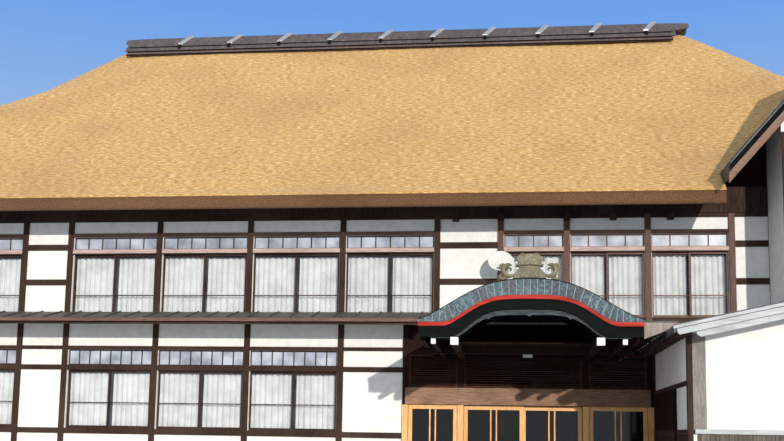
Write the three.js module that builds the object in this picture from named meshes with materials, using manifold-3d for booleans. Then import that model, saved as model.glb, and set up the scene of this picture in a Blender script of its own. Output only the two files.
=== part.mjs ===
// A large two-storey farmhouse with a hipped thatched roof, a curved-gable porch over its sliding
// entrance doors, a low gabled side room and a tall steep-gabled bay at its right.
// Millimetres, +Z up, X along the front, -Y towards the visitor.
// The origin is under the entrance floor, in the plane of the front wall, on the porch's centre line.
import * as THREE from "three";
import { mergeVertices } from "three/addons/utils/BufferGeometryUtils.js";
import Module from "manifold-3d";

const wasm = await Module();
wasm.setup();

// Driving dimensions of the main house
const FIT = 0.25;
const HOUSE_LEFT = -17100;
const HOUSE_RIGHT = 10100;
const HOUSE_DEPTH = 11800;
const STONE_TOP = 450;
const STONE_LEDGE = 40;
const STONE_WIDE = 260;
const FLOOR_TOP = 950;
const FLOOR_DEEP = 100;
const UPPER_FLOOR_TOP = 3640;
const UPPER_FLOOR_DEEP = 160;
const PLASTER_TOP = 6050;
const BEAM_TOP = 6600;
const FRAME_DEEP = 30;
const WALL_BACK = 150;
const POST = 130;
const GLASS = 6;

// Window and rail heights of the two storeys
const LOWER_SILL = 1290;
const LOWER_HEAD = 2590;
const LOWER_TRANSOM = 2700;
const LOWER_TRANSOM_TOP = 3050;
const UPPER_SILL = 3800;
const UPPER_HEAD = 5215;
const UPPER_TRANSOM = 5325;
const UPPER_TRANSOM_TOP = 5615;
const PLASTER_BAY_RAILS = [[4510, 4640], [5312, 5445]];

// Posts of the front wall, from left to right, and the bays between them that hold windows
const FRONT_POSTS = [-17100, -15610, -13510, -11410, -10320, -8220, -6120, -4020, -1930, -550, 870, 2580,
  4320];
const FRONT_WINDOWS = [1, 2, 4, 5, 6, 7, 9, 10, 11];
const LOWER_WINDOWS = [1, 2, 4, 5, 6];

// Thatched roof
const EAVE_LEFT = -18500;
const EAVE_RIGHT = 11500;
const EAVE_OUT = 1300;
const EAVE_ARRIS = 6260;
const EAVE_UNDER = 5960;
const ROOF_RISE = 0.8866;
const RIDGE_LEFT = -11560;
const RIDGE_RIGHT = 4530;
const RIDGE_HALF = 350;
const THATCH_DEEP = 900;
const CORNER_ROUND = 1600;
const CORNER_STEPS = 5;
const END_BULGE = 900;

// Entrance and curved porch
const DOOR_LEFT = -1330;
const DOOR_RIGHT = 1180;
const DOOR_TOP = 1880;
const ENTRANCE_HALF = 2650;
const ENTRANCE_FLOOR = 150;
const HALL_DEEP = 3640;
const LINTEL_TOP = 2270;
const TRANSOM_TOP = 2980;
const PORCH_OUT = 3700;
const PORCH_HALF = 1580;
const PORCH_BOARD_HALF = 1990;
const PORCH_TAIL = 2000;
const PORCH_EDGE = 3190;
const PORCH_LIFT = 490;
const PORCH_BEAM_TOP = 2980;
const PORCH_STRIP = 75;

// Low side room
const LOW_LEFT = 2670;
const LOW_RIGHT = 7630;
const LOW_FRONT = -4100;
const LOW_EAVE = 3110;
const LOW_RISE = 0.218;
const LOW_SIDE_OUT = 300;
const LOW_FRONT_OUT = 450;

// Tall bay
const TALL_LEFT = 5070;
const TALL_RIGHT = 8710;
const TALL_FRONT = -1200;
const TALL_EAVE = 6684;
const TALL_RISE = 1.15;
const TALL_BOARD_DROP = 180;
const TALL_BOARD_DEEP = 210;
const TALL_SIDE_OUT = 1110;
const TALL_FRONT_OUT = 500;
const TALL_ROOF_DEEP = 300;

const COLOURS = {
  thatch: [0xd6ae68, 0.95, 0], timber: [0x3a2a22, 0.7, 0], plaster: [0xe9e6de, 0.9, 0],
  stone: [0x8d8a83, 0.9, 0], board: [0x7a5a3c, 0.75, 0], glass: [0xaebfc4, 0.1, 0],
  metal: [0x4c4246, 0.5, 0.6], copper: [0x5f7f78, 0.55, 0.5], red: [0xb5382f, 0.6, 0],
  black: [0x1a2222, 0.5, 0], grey: [0x5a6262, 0.7, 0], carved: [0x6e6548, 0.6, 0],
  door: [0xa8683e, 0.6, 0], white: [0xeeeeea, 0.6, 0], slate: [0x33363a, 0.6, 0.1],
};

const house = new THREE.Group();

function addPiece(name, geometry, colour, x = 0, y = 0, z = 0, turn = 0) {
  const [color, roughness, metalness] = COLOURS[colour];
  const mesh = new THREE.Mesh(geometry, new THREE.MeshStandardMaterial({ color, roughness, metalness }));
  mesh.name = name;
  mesh.position.set(x, y, z);
  mesh.rotation.z = turn;
  house.add(mesh);
  return mesh;
}

function block(x0, x1, y0, y1, z0, z1) {
  const box = new THREE.BoxGeometry(x1 - x0, y1 - y0, z1 - z0);
  return box.translate((x0 + x1) / 2, (y0 + y1) / 2, (z0 + z1) / 2);
}

function solid(geometry) {
  const bare = geometry.clone();
  bare.deleteAttribute("normal");
  bare.deleteAttribute("uv");
  const merged = mergeVertices(bare, 1e-3);
  const mesh = new wasm.Mesh({
    numProp: 3,
    vertProperties: new Float32Array(merged.attributes.position.array),
    triVerts: new Uint32Array(merged.index.array),
  });
  return new wasm.Manifold(mesh);
}

function surface(body) {
  const mesh = body.getMesh();
  const geometry = new THREE.BufferGeometry();
  geometry.setAttribute("position", new THREE.BufferAttribute(new Float32Array(mesh.vertProperties), 3));
  geometry.setIndex(new THREE.BufferAttribute(new Uint32Array(mesh.triVerts), 1));
  geometry.computeVertexNormals();
  return geometry;
}

function joined(geometries) {
  return surface(geometries.map(solid).reduce((all, next) => all.add(next)));
}

function cut(geometry, cutters) {
  return surface(cutters.map(solid).reduce((rest, next) => rest.subtract(next), solid(geometry)));
}

// An outline in the X-Z plane, made deep along +Y from y0 to y1
function profileSlab(points, y0, y1) {
  const shape = new THREE.Shape(points.map(([x, z]) => new THREE.Vector2(x, z)));
  const slab = new THREE.ExtrudeGeometry(shape, { depth: y1 - y0, bevelEnabled: false });
  return slab.rotateX(Math.PI / 2).translate(0, y1, 0);
}

// An outline in the Y-Z plane, made long along +X from x0 to x1
function lengthSlab(points, x0, x1) {
  const shape = new THREE.Shape(points.map(([y, z]) => new THREE.Vector2(y, z)));
  const slab = new THREE.ExtrudeGeometry(shape, { depth: x1 - x0, bevelEnabled: false });
  const axes = [new THREE.Vector3(0, 1, 0), new THREE.Vector3(0, 0, 1), new THREE.Vector3(1, 0, 0)];
  return slab.applyMatrix4(new THREE.Matrix4().makeBasis(...axes)).translate(x0, 0, 0);
}

const inside = ([u0, u1, z0, z1], u, z) => u > u0 && u < u1 && z > z0 && z < z1;
const sortedLines = (values) => [...new Set(values)].sort((a, b) => a - b);

// A flat slab made of square cells: the area of all the fills less the holes, from w0 to w1 deep
function cellSlab(fills, holes, w0, w1) {
  const areas = [...fills, ...holes];
  const us = sortedLines(areas.flatMap(([u0, u1]) => [u0, u1]));
  const zs = sortedLines(areas.flatMap(([, , z0, z1]) => [z0, z1]));
  const isFull = (i, j) => {
    if (i < 0 || j < 0 || i >= us.length - 1 || j >= zs.length - 1) return false;
    const u = (us[i] + us[i + 1]) / 2;
    const z = (zs[j] + zs[j + 1]) / 2;
    return fills.some((area) => inside(area, u, z)) && !holes.some((area) => inside(area, u, z));
  };
  const positions = [];
  const face = (...corners) => [0, 1, 2, 0, 2, 3].forEach((corner) => positions.push(...corners[corner]));
  for (let i = 0; i < us.length - 1; i += 1) {
    for (let j = 0; j < zs.length - 1; j += 1) {
      if (!isFull(i, j)) continue;
      const [a, b, c, d] = [us[i], us[i + 1], zs[j], zs[j + 1]];
      face([a, w0, c], [b, w0, c], [b, w0, d], [a, w0, d]);
      face([b, w1, c], [a, w1, c], [a, w1, d], [b, w1, d]);
      if (!isFull(i - 1, j)) face([a, w1, c], [a, w0, c], [a, w0, d], [a, w1, d]);
      if (!isFull(i + 1, j)) face([b, w0, c], [b, w1, c], [b, w1, d], [b, w0, d]);
      if (!isFull(i, j - 1)) face([a, w1, c], [b, w1, c], [b, w0, c], [a, w0, c]);
      if (!isFull(i, j + 1)) face([a, w0, d], [b, w0, d], [b, w1, d], [a, w1, d]);
    }
  }
  const geometry = new THREE.BufferGeometry();
  geometry.setAttribute("position", new THREE.Float32BufferAttribute(positions, 3));
  geometry.computeVertexNormals();
  return geometry;
}

function plate(u0, u1, z0, z1, w0, w1, holes = []) {
  return cellSlab([[u0, u1, z0, z1]], holes, w0, w1);
}

// An outline seen from above, made thick along +Z
function floorSlab(points, z0, z1) {
  const shape = new THREE.Shape(points.map(([x, y]) => new THREE.Vector2(x, y)));
  return new THREE.ExtrudeGeometry(shape, { depth: z1 - z0, bevelEnabled: false }).translate(0, 0, z0);
}

// A timber frame of posts and rails in front of a wall, as one joined lattice
function timberLattice(posts, rails, z0, z1) {
  return cellSlab([...posts.map(([u, wide]) => [u - wide / 2, u + wide / 2, z0, z1]), ...rails], [], 0,
    FRAME_DEEP);
}

function windowHoles(posts, bays, sill, top) {
  return bays.map((bay) => [posts[bay] + POST / 2 + 10, posts[bay + 1] - POST / 2 - 10, sill, top]);
}

// Foundation, one ring under every outer wall with a way through for the entrance floor
function foundation() {
  const ledge = STONE_LEDGE;
  const main = block(HOUSE_LEFT - ledge, HOUSE_RIGHT + ledge, -ledge, HOUSE_DEPTH + ledge, 0, STONE_TOP);
  const low = block(LOW_LEFT - ledge, LOW_RIGHT + ledge, LOW_FRONT - ledge, 0, 0, STONE_TOP);
  const tall = block(TALL_LEFT - ledge, TALL_RIGHT + ledge, TALL_FRONT - ledge, 0, 0, STONE_TOP);
  const wide = STONE_WIDE;
  const hollow = [
    block(HOUSE_LEFT + wide, HOUSE_RIGHT - wide, wide, HOUSE_DEPTH - wide, -10, STONE_TOP + 10),
    block(LOW_LEFT + wide, LOW_RIGHT - wide, LOW_FRONT + wide, -40.1, -10, STONE_TOP + 10),
    block(-ENTRANCE_HALF - FIT, ENTRANCE_HALF + FIT, -60 + FIT, wide + 10, -10, STONE_TOP + 10),
  ];
  return cut(joined([main, low, tall]), hollow);
}

// Ground floor boards' slab, stepped back round the entrance hall
function groundFloor() {
  const inset = WALL_BACK + 30;
  const outline = [
    [HOUSE_LEFT + inset, inset], [-ENTRANCE_HALF - 20, inset], [-ENTRANCE_HALF - 20, HALL_DEEP],
    [ENTRANCE_HALF + 20, HALL_DEEP], [ENTRANCE_HALF + 20, inset], [HOUSE_RIGHT - inset, inset],
    [HOUSE_RIGHT - inset, HOUSE_DEPTH - inset], [HOUSE_LEFT + inset, HOUSE_DEPTH - inset],
  ];
  const top = FLOOR_TOP - FLOOR_DEEP + 10;
  const sleepers = [block(HOUSE_LEFT + 200, -ENTRANCE_HALF - 40, 185, 255, STONE_TOP + FIT, top),
    block(ENTRANCE_HALF + 40, HOUSE_RIGHT - 200, 185, 255, STONE_TOP + FIT, top),
    block(HOUSE_LEFT + 200, HOUSE_RIGHT - 200, HOUSE_DEPTH - 255, HOUSE_DEPTH - 185, STONE_TOP + FIT, top)];
  return joined([floorSlab(outline, FLOOR_TOP - FLOOR_DEEP, FLOOR_TOP), ...sleepers]);
}

function upperFloor() {
  const inset = WALL_BACK + FIT;
  return block(HOUSE_LEFT + inset, HOUSE_RIGHT - inset, inset, HOUSE_DEPTH - inset,
    UPPER_FLOOR_TOP - UPPER_FLOOR_DEEP, UPPER_FLOOR_TOP);
}

// Plan contour of the thatch at an inset from the eave: a rectangle with rounded corners
function thatchContour(inset, z, round) {
  const total = HOUSE_DEPTH / 2 + EAVE_OUT - RIDGE_HALF;
  const bulge = END_BULGE * Math.sin(Math.PI * Math.max(0, inset) / total);
  const left = EAVE_LEFT + inset * (RIDGE_LEFT - EAVE_LEFT) / total - bulge * 0.8;
  const right = EAVE_RIGHT + inset * (RIDGE_RIGHT - EAVE_RIGHT) / total + bulge;
  const front = -EAVE_OUT + inset;
  const back = HOUSE_DEPTH + EAVE_OUT - inset;
  const r = Math.min(round, (back - front) / 2 - 20);
  const centres = [[right - r, front + r, -90], [right - r, back - r, 0], [left + r, back - r, 90],
    [left + r, front + r, 180]];
  const points = [];
  for (const [cx, cy, start] of centres) {
    for (let step = 0; step <= CORNER_STEPS; step += 1) {
      const angle = THREE.MathUtils.degToRad(start + 90 * step / CORNER_STEPS);
      points.push([cx + r * Math.cos(angle), cy + r * Math.sin(angle), z]);
    }
  }
  return points;
}

// A closed body from rings of equal point count, capped at both ends
function ringBody(rings) {
  const count = rings[0].length;
  const positions = rings.flat(2);
  const index = [];
  for (let ring = 0; ring < rings.length - 1; ring += 1) {
    for (let step = 0; step < count; step += 1) {
      const a = ring * count + step;
      const b = ring * count + (step + 1) % count;
      index.push(a, b, b + count, a, b + count, a + count);
    }
  }
  const last = (rings.length - 1) * count;
  for (let step = 1; step < count - 1; step += 1) {
    index.push(0, step + 1, step);
    index.push(last, last + step, last + step + 1);
  }
  const geometry = new THREE.BufferGeometry();
  geometry.setAttribute("position", new THREE.Float32BufferAttribute(positions, 3));
  geometry.setIndex(index);
  return geometry;
}

const ROOF_RUN = HOUSE_DEPTH / 2 + EAVE_OUT - RIDGE_HALF;
const outerHeight = (inset) => EAVE_ARRIS + ROOF_RISE * inset;
const outerRound = (inset) => CORNER_ROUND + 900 * inset / ROOF_RUN;
const OUTER_INSETS = [0, 700, 1500, 2400, 3300, 4200, 5100, 6000, ROOF_RUN];
const INNER_INSETS = [2000, 3000, 4000, 5000, 6000];

// The whole mass of the roof above its eave, with no hollow
function thatchMass(lift) {
  const rings = OUTER_INSETS.map((inset) => thatchContour(inset, outerHeight(inset) + lift,
    outerRound(inset)));
  return ringBody([thatchContour(60, EAVE_UNDER - 400, CORNER_ROUND), ...rings]);
}

function thatchShell() {
  const outer = OUTER_INSETS.map((inset) => thatchContour(inset, outerHeight(inset), outerRound(inset)));
  const mass = ringBody([thatchContour(60, EAVE_UNDER, CORNER_ROUND), ...outer]);
  const hollow = [
    thatchContour(80, EAVE_UNDER - 60, CORNER_ROUND),
    thatchContour(100, EAVE_UNDER, CORNER_ROUND),
    thatchContour(1050, BEAM_TOP + FIT, 300),
    thatchContour(1750, BEAM_TOP + FIT + 1, 300),
    ...INNER_INSETS.map((inset) => thatchContour(inset, outerHeight(inset) - THATCH_DEEP, 500)),
  ];
  const tallBay = profileSlab(tallGable(FIT, 100), TALL_FRONT - 2000, HOUSE_DEPTH / 2);
  return cut(mass, [ringBody(hollow), tallBay]);
}

// Outline of the tall bay's gable, from a low line up to its roof surface raised by a gap
function tallGable(lift, low) {
  const middle = (TALL_LEFT + TALL_RIGHT) / 2;
  const half = middle - TALL_LEFT + TALL_SIDE_OUT;
  const apex = TALL_EAVE + half * TALL_RISE;
  return [[middle - half, low], [middle + half, low], [middle + half, TALL_EAVE + lift],
    [middle, apex + lift], [middle - half, TALL_EAVE + lift]];
}

function tallRoof() {
  const middle = (TALL_LEFT + TALL_RIGHT) / 2;
  const half = middle - TALL_LEFT + TALL_SIDE_OUT;
  const apex = TALL_EAVE + half * TALL_RISE;
  const outline = [[middle - half, TALL_EAVE], [middle - half, TALL_EAVE - TALL_ROOF_DEEP],
    [middle, apex - TALL_ROOF_DEEP], [middle + half, TALL_EAVE - TALL_ROOF_DEEP],
    [middle + half, TALL_EAVE], [middle, apex]].reverse();
  const shell = profileSlab(outline, TALL_FRONT - TALL_FRONT_OUT, HOUSE_DEPTH / 2 - 500);
  return cut(shell, [thatchMass(FIT)]);
}

function ridgeCap() {
  const peak = outerHeight(ROOF_RUN);
  const middle = HOUSE_DEPTH / 2;
  const skirt = 420;
  const low = peak - ROOF_RISE * skirt + FIT;
  const outline = [[-RIDGE_HALF - skirt, low], [-RIDGE_HALF, peak + FIT], [RIDGE_HALF, peak + FIT],
    [RIDGE_HALF + skirt, low], [RIDGE_HALF + skirt + 20, low + 80], [420, peak + 130], [300, peak + 190],
    [0, peak + 380], [-300, peak + 190], [-420, peak + 130], [-RIDGE_HALF - skirt - 20, low + 80]];
  return lengthSlab(outline.map(([y, z]) => [y + middle, z]), RIDGE_LEFT, RIDGE_RIGHT);
}

function eavesBeam() {
  const ring = block(HOUSE_LEFT - 20, HOUSE_RIGHT + 20, -20, HOUSE_DEPTH + 20, PLASTER_TOP + FIT, BEAM_TOP);
  const inner = block(HOUSE_LEFT + 220, HOUSE_RIGHT - 220, 220, HOUSE_DEPTH - 220, PLASTER_TOP - 10,
    BEAM_TOP + 10);
  const bay = block(TALL_LEFT - FIT, TALL_RIGHT + FIT, -100, 230, PLASTER_TOP - 10, BEAM_TOP + 10);
  return cut(ring, [inner, bay]);
}

// Front wall of the main house
function upperFrontWall() {
  const holes = windowHoles(FRONT_POSTS, FRONT_WINDOWS, UPPER_SILL, UPPER_TRANSOM_TOP);
  return plate(HOUSE_LEFT, TALL_LEFT - FIT, UPPER_FLOOR_TOP, PLASTER_TOP, FRAME_DEEP + FIT, WALL_BACK,
    holes);
}

function lowerFrontWall() {
  const holes = windowHoles(FRONT_POSTS, LOWER_WINDOWS, LOWER_SILL, LOWER_TRANSOM_TOP);
  return plate(HOUSE_LEFT, -ENTRANCE_HALF - FIT, STONE_TOP + FIT, UPPER_FLOOR_TOP - FIT, FRAME_DEEP + FIT,
    WALL_BACK, holes);
}

function frontLattice() {
  const posts = FRONT_POSTS.map((x) => [x === HOUSE_LEFT ? x + POST / 2 : x, POST]);
  const lowerPosts = posts.filter(([x]) => x < -ENTRANCE_HALF);
  const upperPosts = posts.filter(([x]) => x > -ENTRANCE_HALF);
  const right = TALL_LEFT - FIT;
  const rails = [
    [HOUSE_LEFT, right, UPPER_SILL - 110, UPPER_SILL], [HOUSE_LEFT, right, PLASTER_TOP - 90, PLASTER_TOP],
    [HOUSE_LEFT, -ENTRANCE_HALF - FIT, LOWER_SILL - 120, LOWER_SILL],
    [HOUSE_LEFT, -ENTRANCE_HALF - FIT, LOWER_HEAD, LOWER_TRANSOM],
    [HOUSE_LEFT, -ENTRANCE_HALF - FIT, LOWER_TRANSOM_TOP, LOWER_TRANSOM_TOP + 80],
    [HOUSE_LEFT, -ENTRANCE_HALF - FIT, STONE_TOP + FIT, STONE_TOP + 150],
  ];
  const windowRails = [[UPPER_HEAD, UPPER_TRANSOM], [UPPER_TRANSOM_TOP, UPPER_TRANSOM_TOP + 80]];
  FRONT_POSTS.forEach((x, bay) => {
    const across = FRONT_WINDOWS.includes(bay) ? windowRails : PLASTER_BAY_RAILS;
    rails.push(...across.map(([low, high]) => [x, FRONT_POSTS[bay + 1] ?? right, low, high]));
  });
  rails.push(...upperPosts.map(([x, wide]) => [x - wide / 2, x + wide / 2, UPPER_SILL - 110, PLASTER_TOP]));
  return timberLattice(lowerPosts, rails, STONE_TOP + FIT, PLASTER_TOP);
}

// A plain outer wall with two storeys of windows repeated along it
function sideBays(length) {
  const bays = Math.round(length / 1970);
  return Array.from({ length: bays + 1 }, (_, bay) => Math.round(bay * length / bays));
}

function sideHoles(length) {
  const posts = sideBays(length);
  const bays = posts.slice(1, -2).map((_, bay) => bay + 1).filter((bay) => bay % 2 === 1);
  return [...windowHoles(posts, bays, LOWER_SILL, LOWER_TRANSOM_TOP),
    ...windowHoles(posts, bays, UPPER_SILL, UPPER_TRANSOM_TOP)];
}

function sideWall(length) {
  return plate(0, length, STONE_TOP + FIT, PLASTER_TOP, FRAME_DEEP + FIT, WALL_BACK, sideHoles(length));
}

function sideLattice(length) {
  const posts = sideBays(length).map((u) => [Math.min(Math.max(u, POST / 2), length - POST / 2), POST]);
  const rails = [[LOWER_SILL - 120, LOWER_SILL], [LOWER_HEAD, LOWER_TRANSOM],
    [LOWER_TRANSOM_TOP, LOWER_TRANSOM_TOP + 80], [UPPER_SILL - 110, UPPER_SILL],
    [UPPER_HEAD, UPPER_TRANSOM], [UPPER_TRANSOM_TOP, UPPER_TRANSOM_TOP + 80],
    [PLASTER_TOP - 90, PLASTER_TOP], [STONE_TOP + FIT, STONE_TOP + 150]];
  return timberLattice(posts, rails.map(([low, high]) => [0, length, low, high]), STONE_TOP + FIT,
    PLASTER_TOP);
}

function sideGlass(length, sill, top) {
  return block(1500, length - 1500, WALL_BACK + FIT, WALL_BACK + FIT + GLASS, sill - 50, top + 50);
}

const frontLength = HOUSE_RIGHT - HOUSE_LEFT;
const endInset = WALL_BACK + FIT;
const endLength = HOUSE_DEPTH - 2 * endInset;

addPiece("house_foundation", foundation(), "stone");
addPiece("ground_floor", groundFloor(), "board");
addPiece("upper_floor", upperFloor(), "board");
addPiece("upper_front_wall", upperFrontWall(), "plaster");
addPiece("lower_front_wall", lowerFrontWall(), "plaster");
addPiece("front_timber_frame", frontLattice(), "timber");
addPiece("upper_front_glass", block(HOUSE_LEFT + 1400, 4400, WALL_BACK + FIT, WALL_BACK + FIT + GLASS,
  UPPER_SILL - 50, UPPER_TRANSOM_TOP + 50), "glass");
addPiece("lower_front_glass", block(HOUSE_LEFT + 1400, -3950, WALL_BACK + FIT, WALL_BACK + FIT + GLASS,
  LOWER_SILL - 50, LOWER_TRANSOM_TOP + 50), "glass");
addPiece("back_wall", sideWall(frontLength), "plaster", HOUSE_RIGHT, HOUSE_DEPTH, 0, Math.PI);
addPiece("back_timber_frame", sideLattice(frontLength), "timber", HOUSE_RIGHT, HOUSE_DEPTH, 0, Math.PI);
addPiece("left_end_wall", sideWall(endLength), "plaster", HOUSE_LEFT, HOUSE_DEPTH - endInset, 0,
  -Math.PI / 2);
addPiece("left_timber_frame", sideLattice(endLength), "timber", HOUSE_LEFT, HOUSE_DEPTH - endInset, 0,
  -Math.PI / 2);
addPiece("right_end_wall", sideWall(endLength), "plaster", HOUSE_RIGHT, endInset, 0, Math.PI / 2);
addPiece("right_timber_frame", sideLattice(endLength), "timber", HOUSE_RIGHT, endInset, 0, Math.PI / 2);
for (const [storey, sill, top] of [["lower", LOWER_SILL, LOWER_TRANSOM_TOP], ["upper", UPPER_SILL,
  UPPER_TRANSOM_TOP]]) {
  addPiece(`${storey}_back_glass`, sideGlass(frontLength, sill, top), "glass", HOUSE_RIGHT, HOUSE_DEPTH, 0,
    Math.PI);
  addPiece(`${storey}_left_glass`, sideGlass(endLength, sill, top), "glass", HOUSE_LEFT,
    HOUSE_DEPTH - endInset, 0, -Math.PI / 2);
  addPiece(`${storey}_right_glass`, sideGlass(endLength, sill, top), "glass", HOUSE_RIGHT, endInset, 0,
    Math.PI / 2);
}
addPiece("eaves_beam", eavesBeam(), "timber");
addPiece("thatched_roof", thatchShell(), "thatch");
addPiece("ridge_cap", ridgeCap(), "metal");

// Front wall to the right of the entrance, beside the tall bay and beyond it
addPiece("front_wall_by_side_room", plate(ENTRANCE_HALF + FIT, TALL_LEFT - FIT, STONE_TOP + FIT,
  UPPER_FLOOR_TOP - FIT, FRAME_DEEP + FIT, WALL_BACK), "plaster");
addPiece("front_wall_far_right", plate(TALL_RIGHT + FIT, HOUSE_RIGHT, STONE_TOP + FIT, PLASTER_TOP,
  FRAME_DEEP + FIT, WALL_BACK), "plaster");
addPiece("far_right_timber_frame", timberLattice([[TALL_RIGHT + POST / 2 + FIT, POST],
  [HOUSE_RIGHT - POST / 2, POST]],
  [[TALL_RIGHT + FIT, HOUSE_RIGHT, UPPER_SILL - 110, UPPER_SILL], [TALL_RIGHT + FIT, HOUSE_RIGHT, 5960,
    PLASTER_TOP],
    [TALL_RIGHT + FIT, HOUSE_RIGHT, STONE_TOP + FIT, 600]], STONE_TOP + FIT, PLASTER_TOP), "timber");

// Lean-to roof over the lower windows at the left, on a ledger, rafters and a fascia
const LEAN_LEFT = HOUSE_LEFT - 200;
const LEAN_RIGHT = -2030;
const LEAN_OUT = 900;
const LEAN_TOP = 3900;
const LEAN_DEEP = 60;
const LEAN_DROP = 240;

function leanToRoof() {
  const lip = -LEAN_OUT - 60;
  const outline = [[-FIT, LEAN_TOP], [lip, LEAN_TOP - LEAN_DROP], [lip, LEAN_TOP - LEAN_DROP - LEAN_DEEP],
    [-FIT, LEAN_TOP - LEAN_DEEP]];
  return lengthSlab(outline, LEAN_LEFT, LEAN_RIGHT);
}

function leanToFrame() {
  const fall = LEAN_DROP / (LEAN_OUT + 60);
  const under = (y) => LEAN_TOP - LEAN_DEEP - FIT + fall * y;
  const sloped = (y0, y1, deep, x0, x1) => lengthSlab([[y1, under(y1)], [y0, under(y0)],
    [y0, under(y0) - deep], [y1, under(y1) - deep]], x0, x1);
  const pieces = [sloped(-90, -FIT, 120, LEAN_LEFT + 50, LEAN_RIGHT - 50),
    sloped(-LEAN_OUT, -LEAN_OUT + 60, 90, LEAN_LEFT + 50, LEAN_RIGHT - 50)];
  const count = 21;
  for (let rafter = 0; rafter < count; rafter += 1) {
    const x = LEAN_LEFT + 80 + (LEAN_RIGHT - LEAN_LEFT - 160) * rafter / (count - 1);
    pieces.push(sloped(-LEAN_OUT + 20, -20, 70, x - 25, x + 25));
  }
  return joined(pieces);
}

addPiece("lean_to_roof", leanToRoof(), "metal");
addPiece("lean_to_rafters", leanToFrame(), "timber");

// Entrance: floor, posts and lintel, slatted transoms, side lights and two sliding doors
const DOOR_DEEP = 40;
const DOOR_GAP = 6;
const TRACK_STEP = DOOR_DEEP + 2 * DOOR_GAP;
const DOOR_FRONT = 60;
const DOOR_BOTTOM = 190;

function entranceFloor() {
  const wide = ENTRANCE_HALF - 60;
  const half = PORCH_BOARD_HALF;
  const outline = [[-half, -PORCH_OUT + 400], [half, -PORCH_OUT + 400], [half, -60], [wide, -60], [wide,
    HALL_DEEP - 20],
    [-wide, HALL_DEEP - 20], [-wide, -60], [-half, -60]];
  return floorSlab(outline, 0, ENTRANCE_FLOOR);
}

function entranceFrame() {
  const deep = DOOR_FRONT - 10;
  const inner = [DOOR_LEFT - POST, DOOR_RIGHT].map((x) => block(x, x + POST, -20, deep,
    ENTRANCE_FLOOR + FIT,
    UPPER_FLOOR_TOP - FIT));
  const outer = [-1, 1].map((side) => block(side * (ENTRANCE_HALF - 65) - 64,
    side * (ENTRANCE_HALF - 65) + 64, -20,
    WALL_BACK, ENTRANCE_FLOOR + FIT, UPPER_FLOOR_TOP - FIT));
  const wide = ENTRANCE_HALF - 60;
  const tracks = [0, TRACK_STEP].map((step) => block(-wide, wide, DOOR_FRONT + step + 14,
    DOOR_FRONT + step + 26,
    DOOR_BOTTOM - 10, DOOR_BOTTOM + DOOR_GAP - FIT));
  return joined([...inner, ...outer, block(-wide, wide, -35, deep, DOOR_TOP + 20, LINTEL_TOP),
    block(-wide, wide, -10, deep - 5, TRANSOM_TOP, TRANSOM_TOP + 110),
    block(-wide, wide, deep - 10, WALL_BACK + 10, DOOR_TOP + 22, LINTEL_TOP - 200),
    block(-wide, wide, -30, WALL_BACK + 10, ENTRANCE_FLOOR + FIT, DOOR_BOTTOM - FIT), ...tracks]);
}

function slattedPanel(x0, x1) {
  const slats = 14;
  const pitch = (x1 - x0 - 60) / slats;
  const holes = Array.from({ length: slats }, (_, slat) => [x0 + 30 + slat * pitch + pitch * 0.3,
    x0 + 30 + (slat + 1) * pitch, LINTEL_TOP + 50, TRANSOM_TOP - 50]);
  return plate(x0, x1, LINTEL_TOP + FIT, TRANSOM_TOP - FIT, 0, 30, holes);
}

// A glazed wooden leaf: three lights across, the middle one narrow, over a boarded panel
function glazedLeaf(wide, high, deep) {
  const stile = 90;
  const bar = 30;
  const narrow = 90;
  const side = (wide - 2 * stile - 2 * bar - narrow) / 2;
  const kick = 360;
  const lights = [[stile, stile + side], [stile + side + bar, stile + side + bar + narrow],
    [stile + side + 2 * bar + narrow, wide - stile]];
  const frame = plate(0, wide, 0, high, 0, deep);
  const recesses = lights.flatMap(([x0, x1]) => [block(x0, x1, -1, deep / 2 - 4, kick, high - stile),
    block(x0, x1, deep / 2 + 4, deep + 1, kick, high - stile)]);
  return cut(frame, recesses);
}

const leafWide = (DOOR_RIGHT - DOOR_LEFT) / 2 + 25;
const leafHigh = DOOR_TOP + 10 - DOOR_BOTTOM;
addPiece("entrance_floor", entranceFloor(), "stone");
addPiece("entrance_frame", entranceFrame(), "door");
const headerHalf = ENTRANCE_HALF - 130 + FIT;
addPiece("entrance_header_wall", plate(-headerHalf, headerHalf, TRANSOM_TOP + 60, UPPER_FLOOR_TOP - FIT,
  DOOR_FRONT - 10 + FIT, WALL_BACK - FIT), "plaster");
addPiece("left_door", glazedLeaf(leafWide, leafHigh, DOOR_DEEP), "door", DOOR_LEFT, DOOR_FRONT,
  DOOR_BOTTOM + DOOR_GAP);
addPiece("right_door", glazedLeaf(leafWide, leafHigh, DOOR_DEEP), "door", DOOR_RIGHT - leafWide,
  DOOR_FRONT + TRACK_STEP, DOOR_BOTTOM + DOOR_GAP);
const sideHigh = DOOR_TOP + 20 - DOOR_BOTTOM - 2 * FIT;
const besideDoors = [["left", -ENTRANCE_HALF + 130 + FIT, DOOR_LEFT - POST - FIT],
  ["right", DOOR_RIGHT + POST + FIT, ENTRANCE_HALF - 130 - FIT]];
for (const [side, x0, x1] of besideDoors) {
  addPiece(`${side}_side_light`, glazedLeaf(x1 - x0, sideHigh, 35), "door", x0, 5, DOOR_BOTTOM + FIT);
  addPiece(`${side}_transom`, slattedPanel(x0, x1), "board");
}
addPiece("middle_transom", slattedPanel(DOOR_LEFT + FIT, DOOR_RIGHT - FIT), "board");

// Curved porch gable: a flat-topped wave, 1 in its middle and 0 from its reach outwards
const wave = (x, reach, power) => 0.5 + 0.5 * Math.cos(Math.PI
  * Math.min(1, Math.abs(x) / reach) ** power);
const porchLine = (x) => PORCH_EDGE + PORCH_LIFT * wave(x, PORCH_HALF, 1.85);
const porchTop = (x) => 3280 + 770 * wave(x, 2250, 1.32);
const porchBoardLow = (x) => 3000 + 500 * wave(x, 1420, 2.1);

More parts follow.
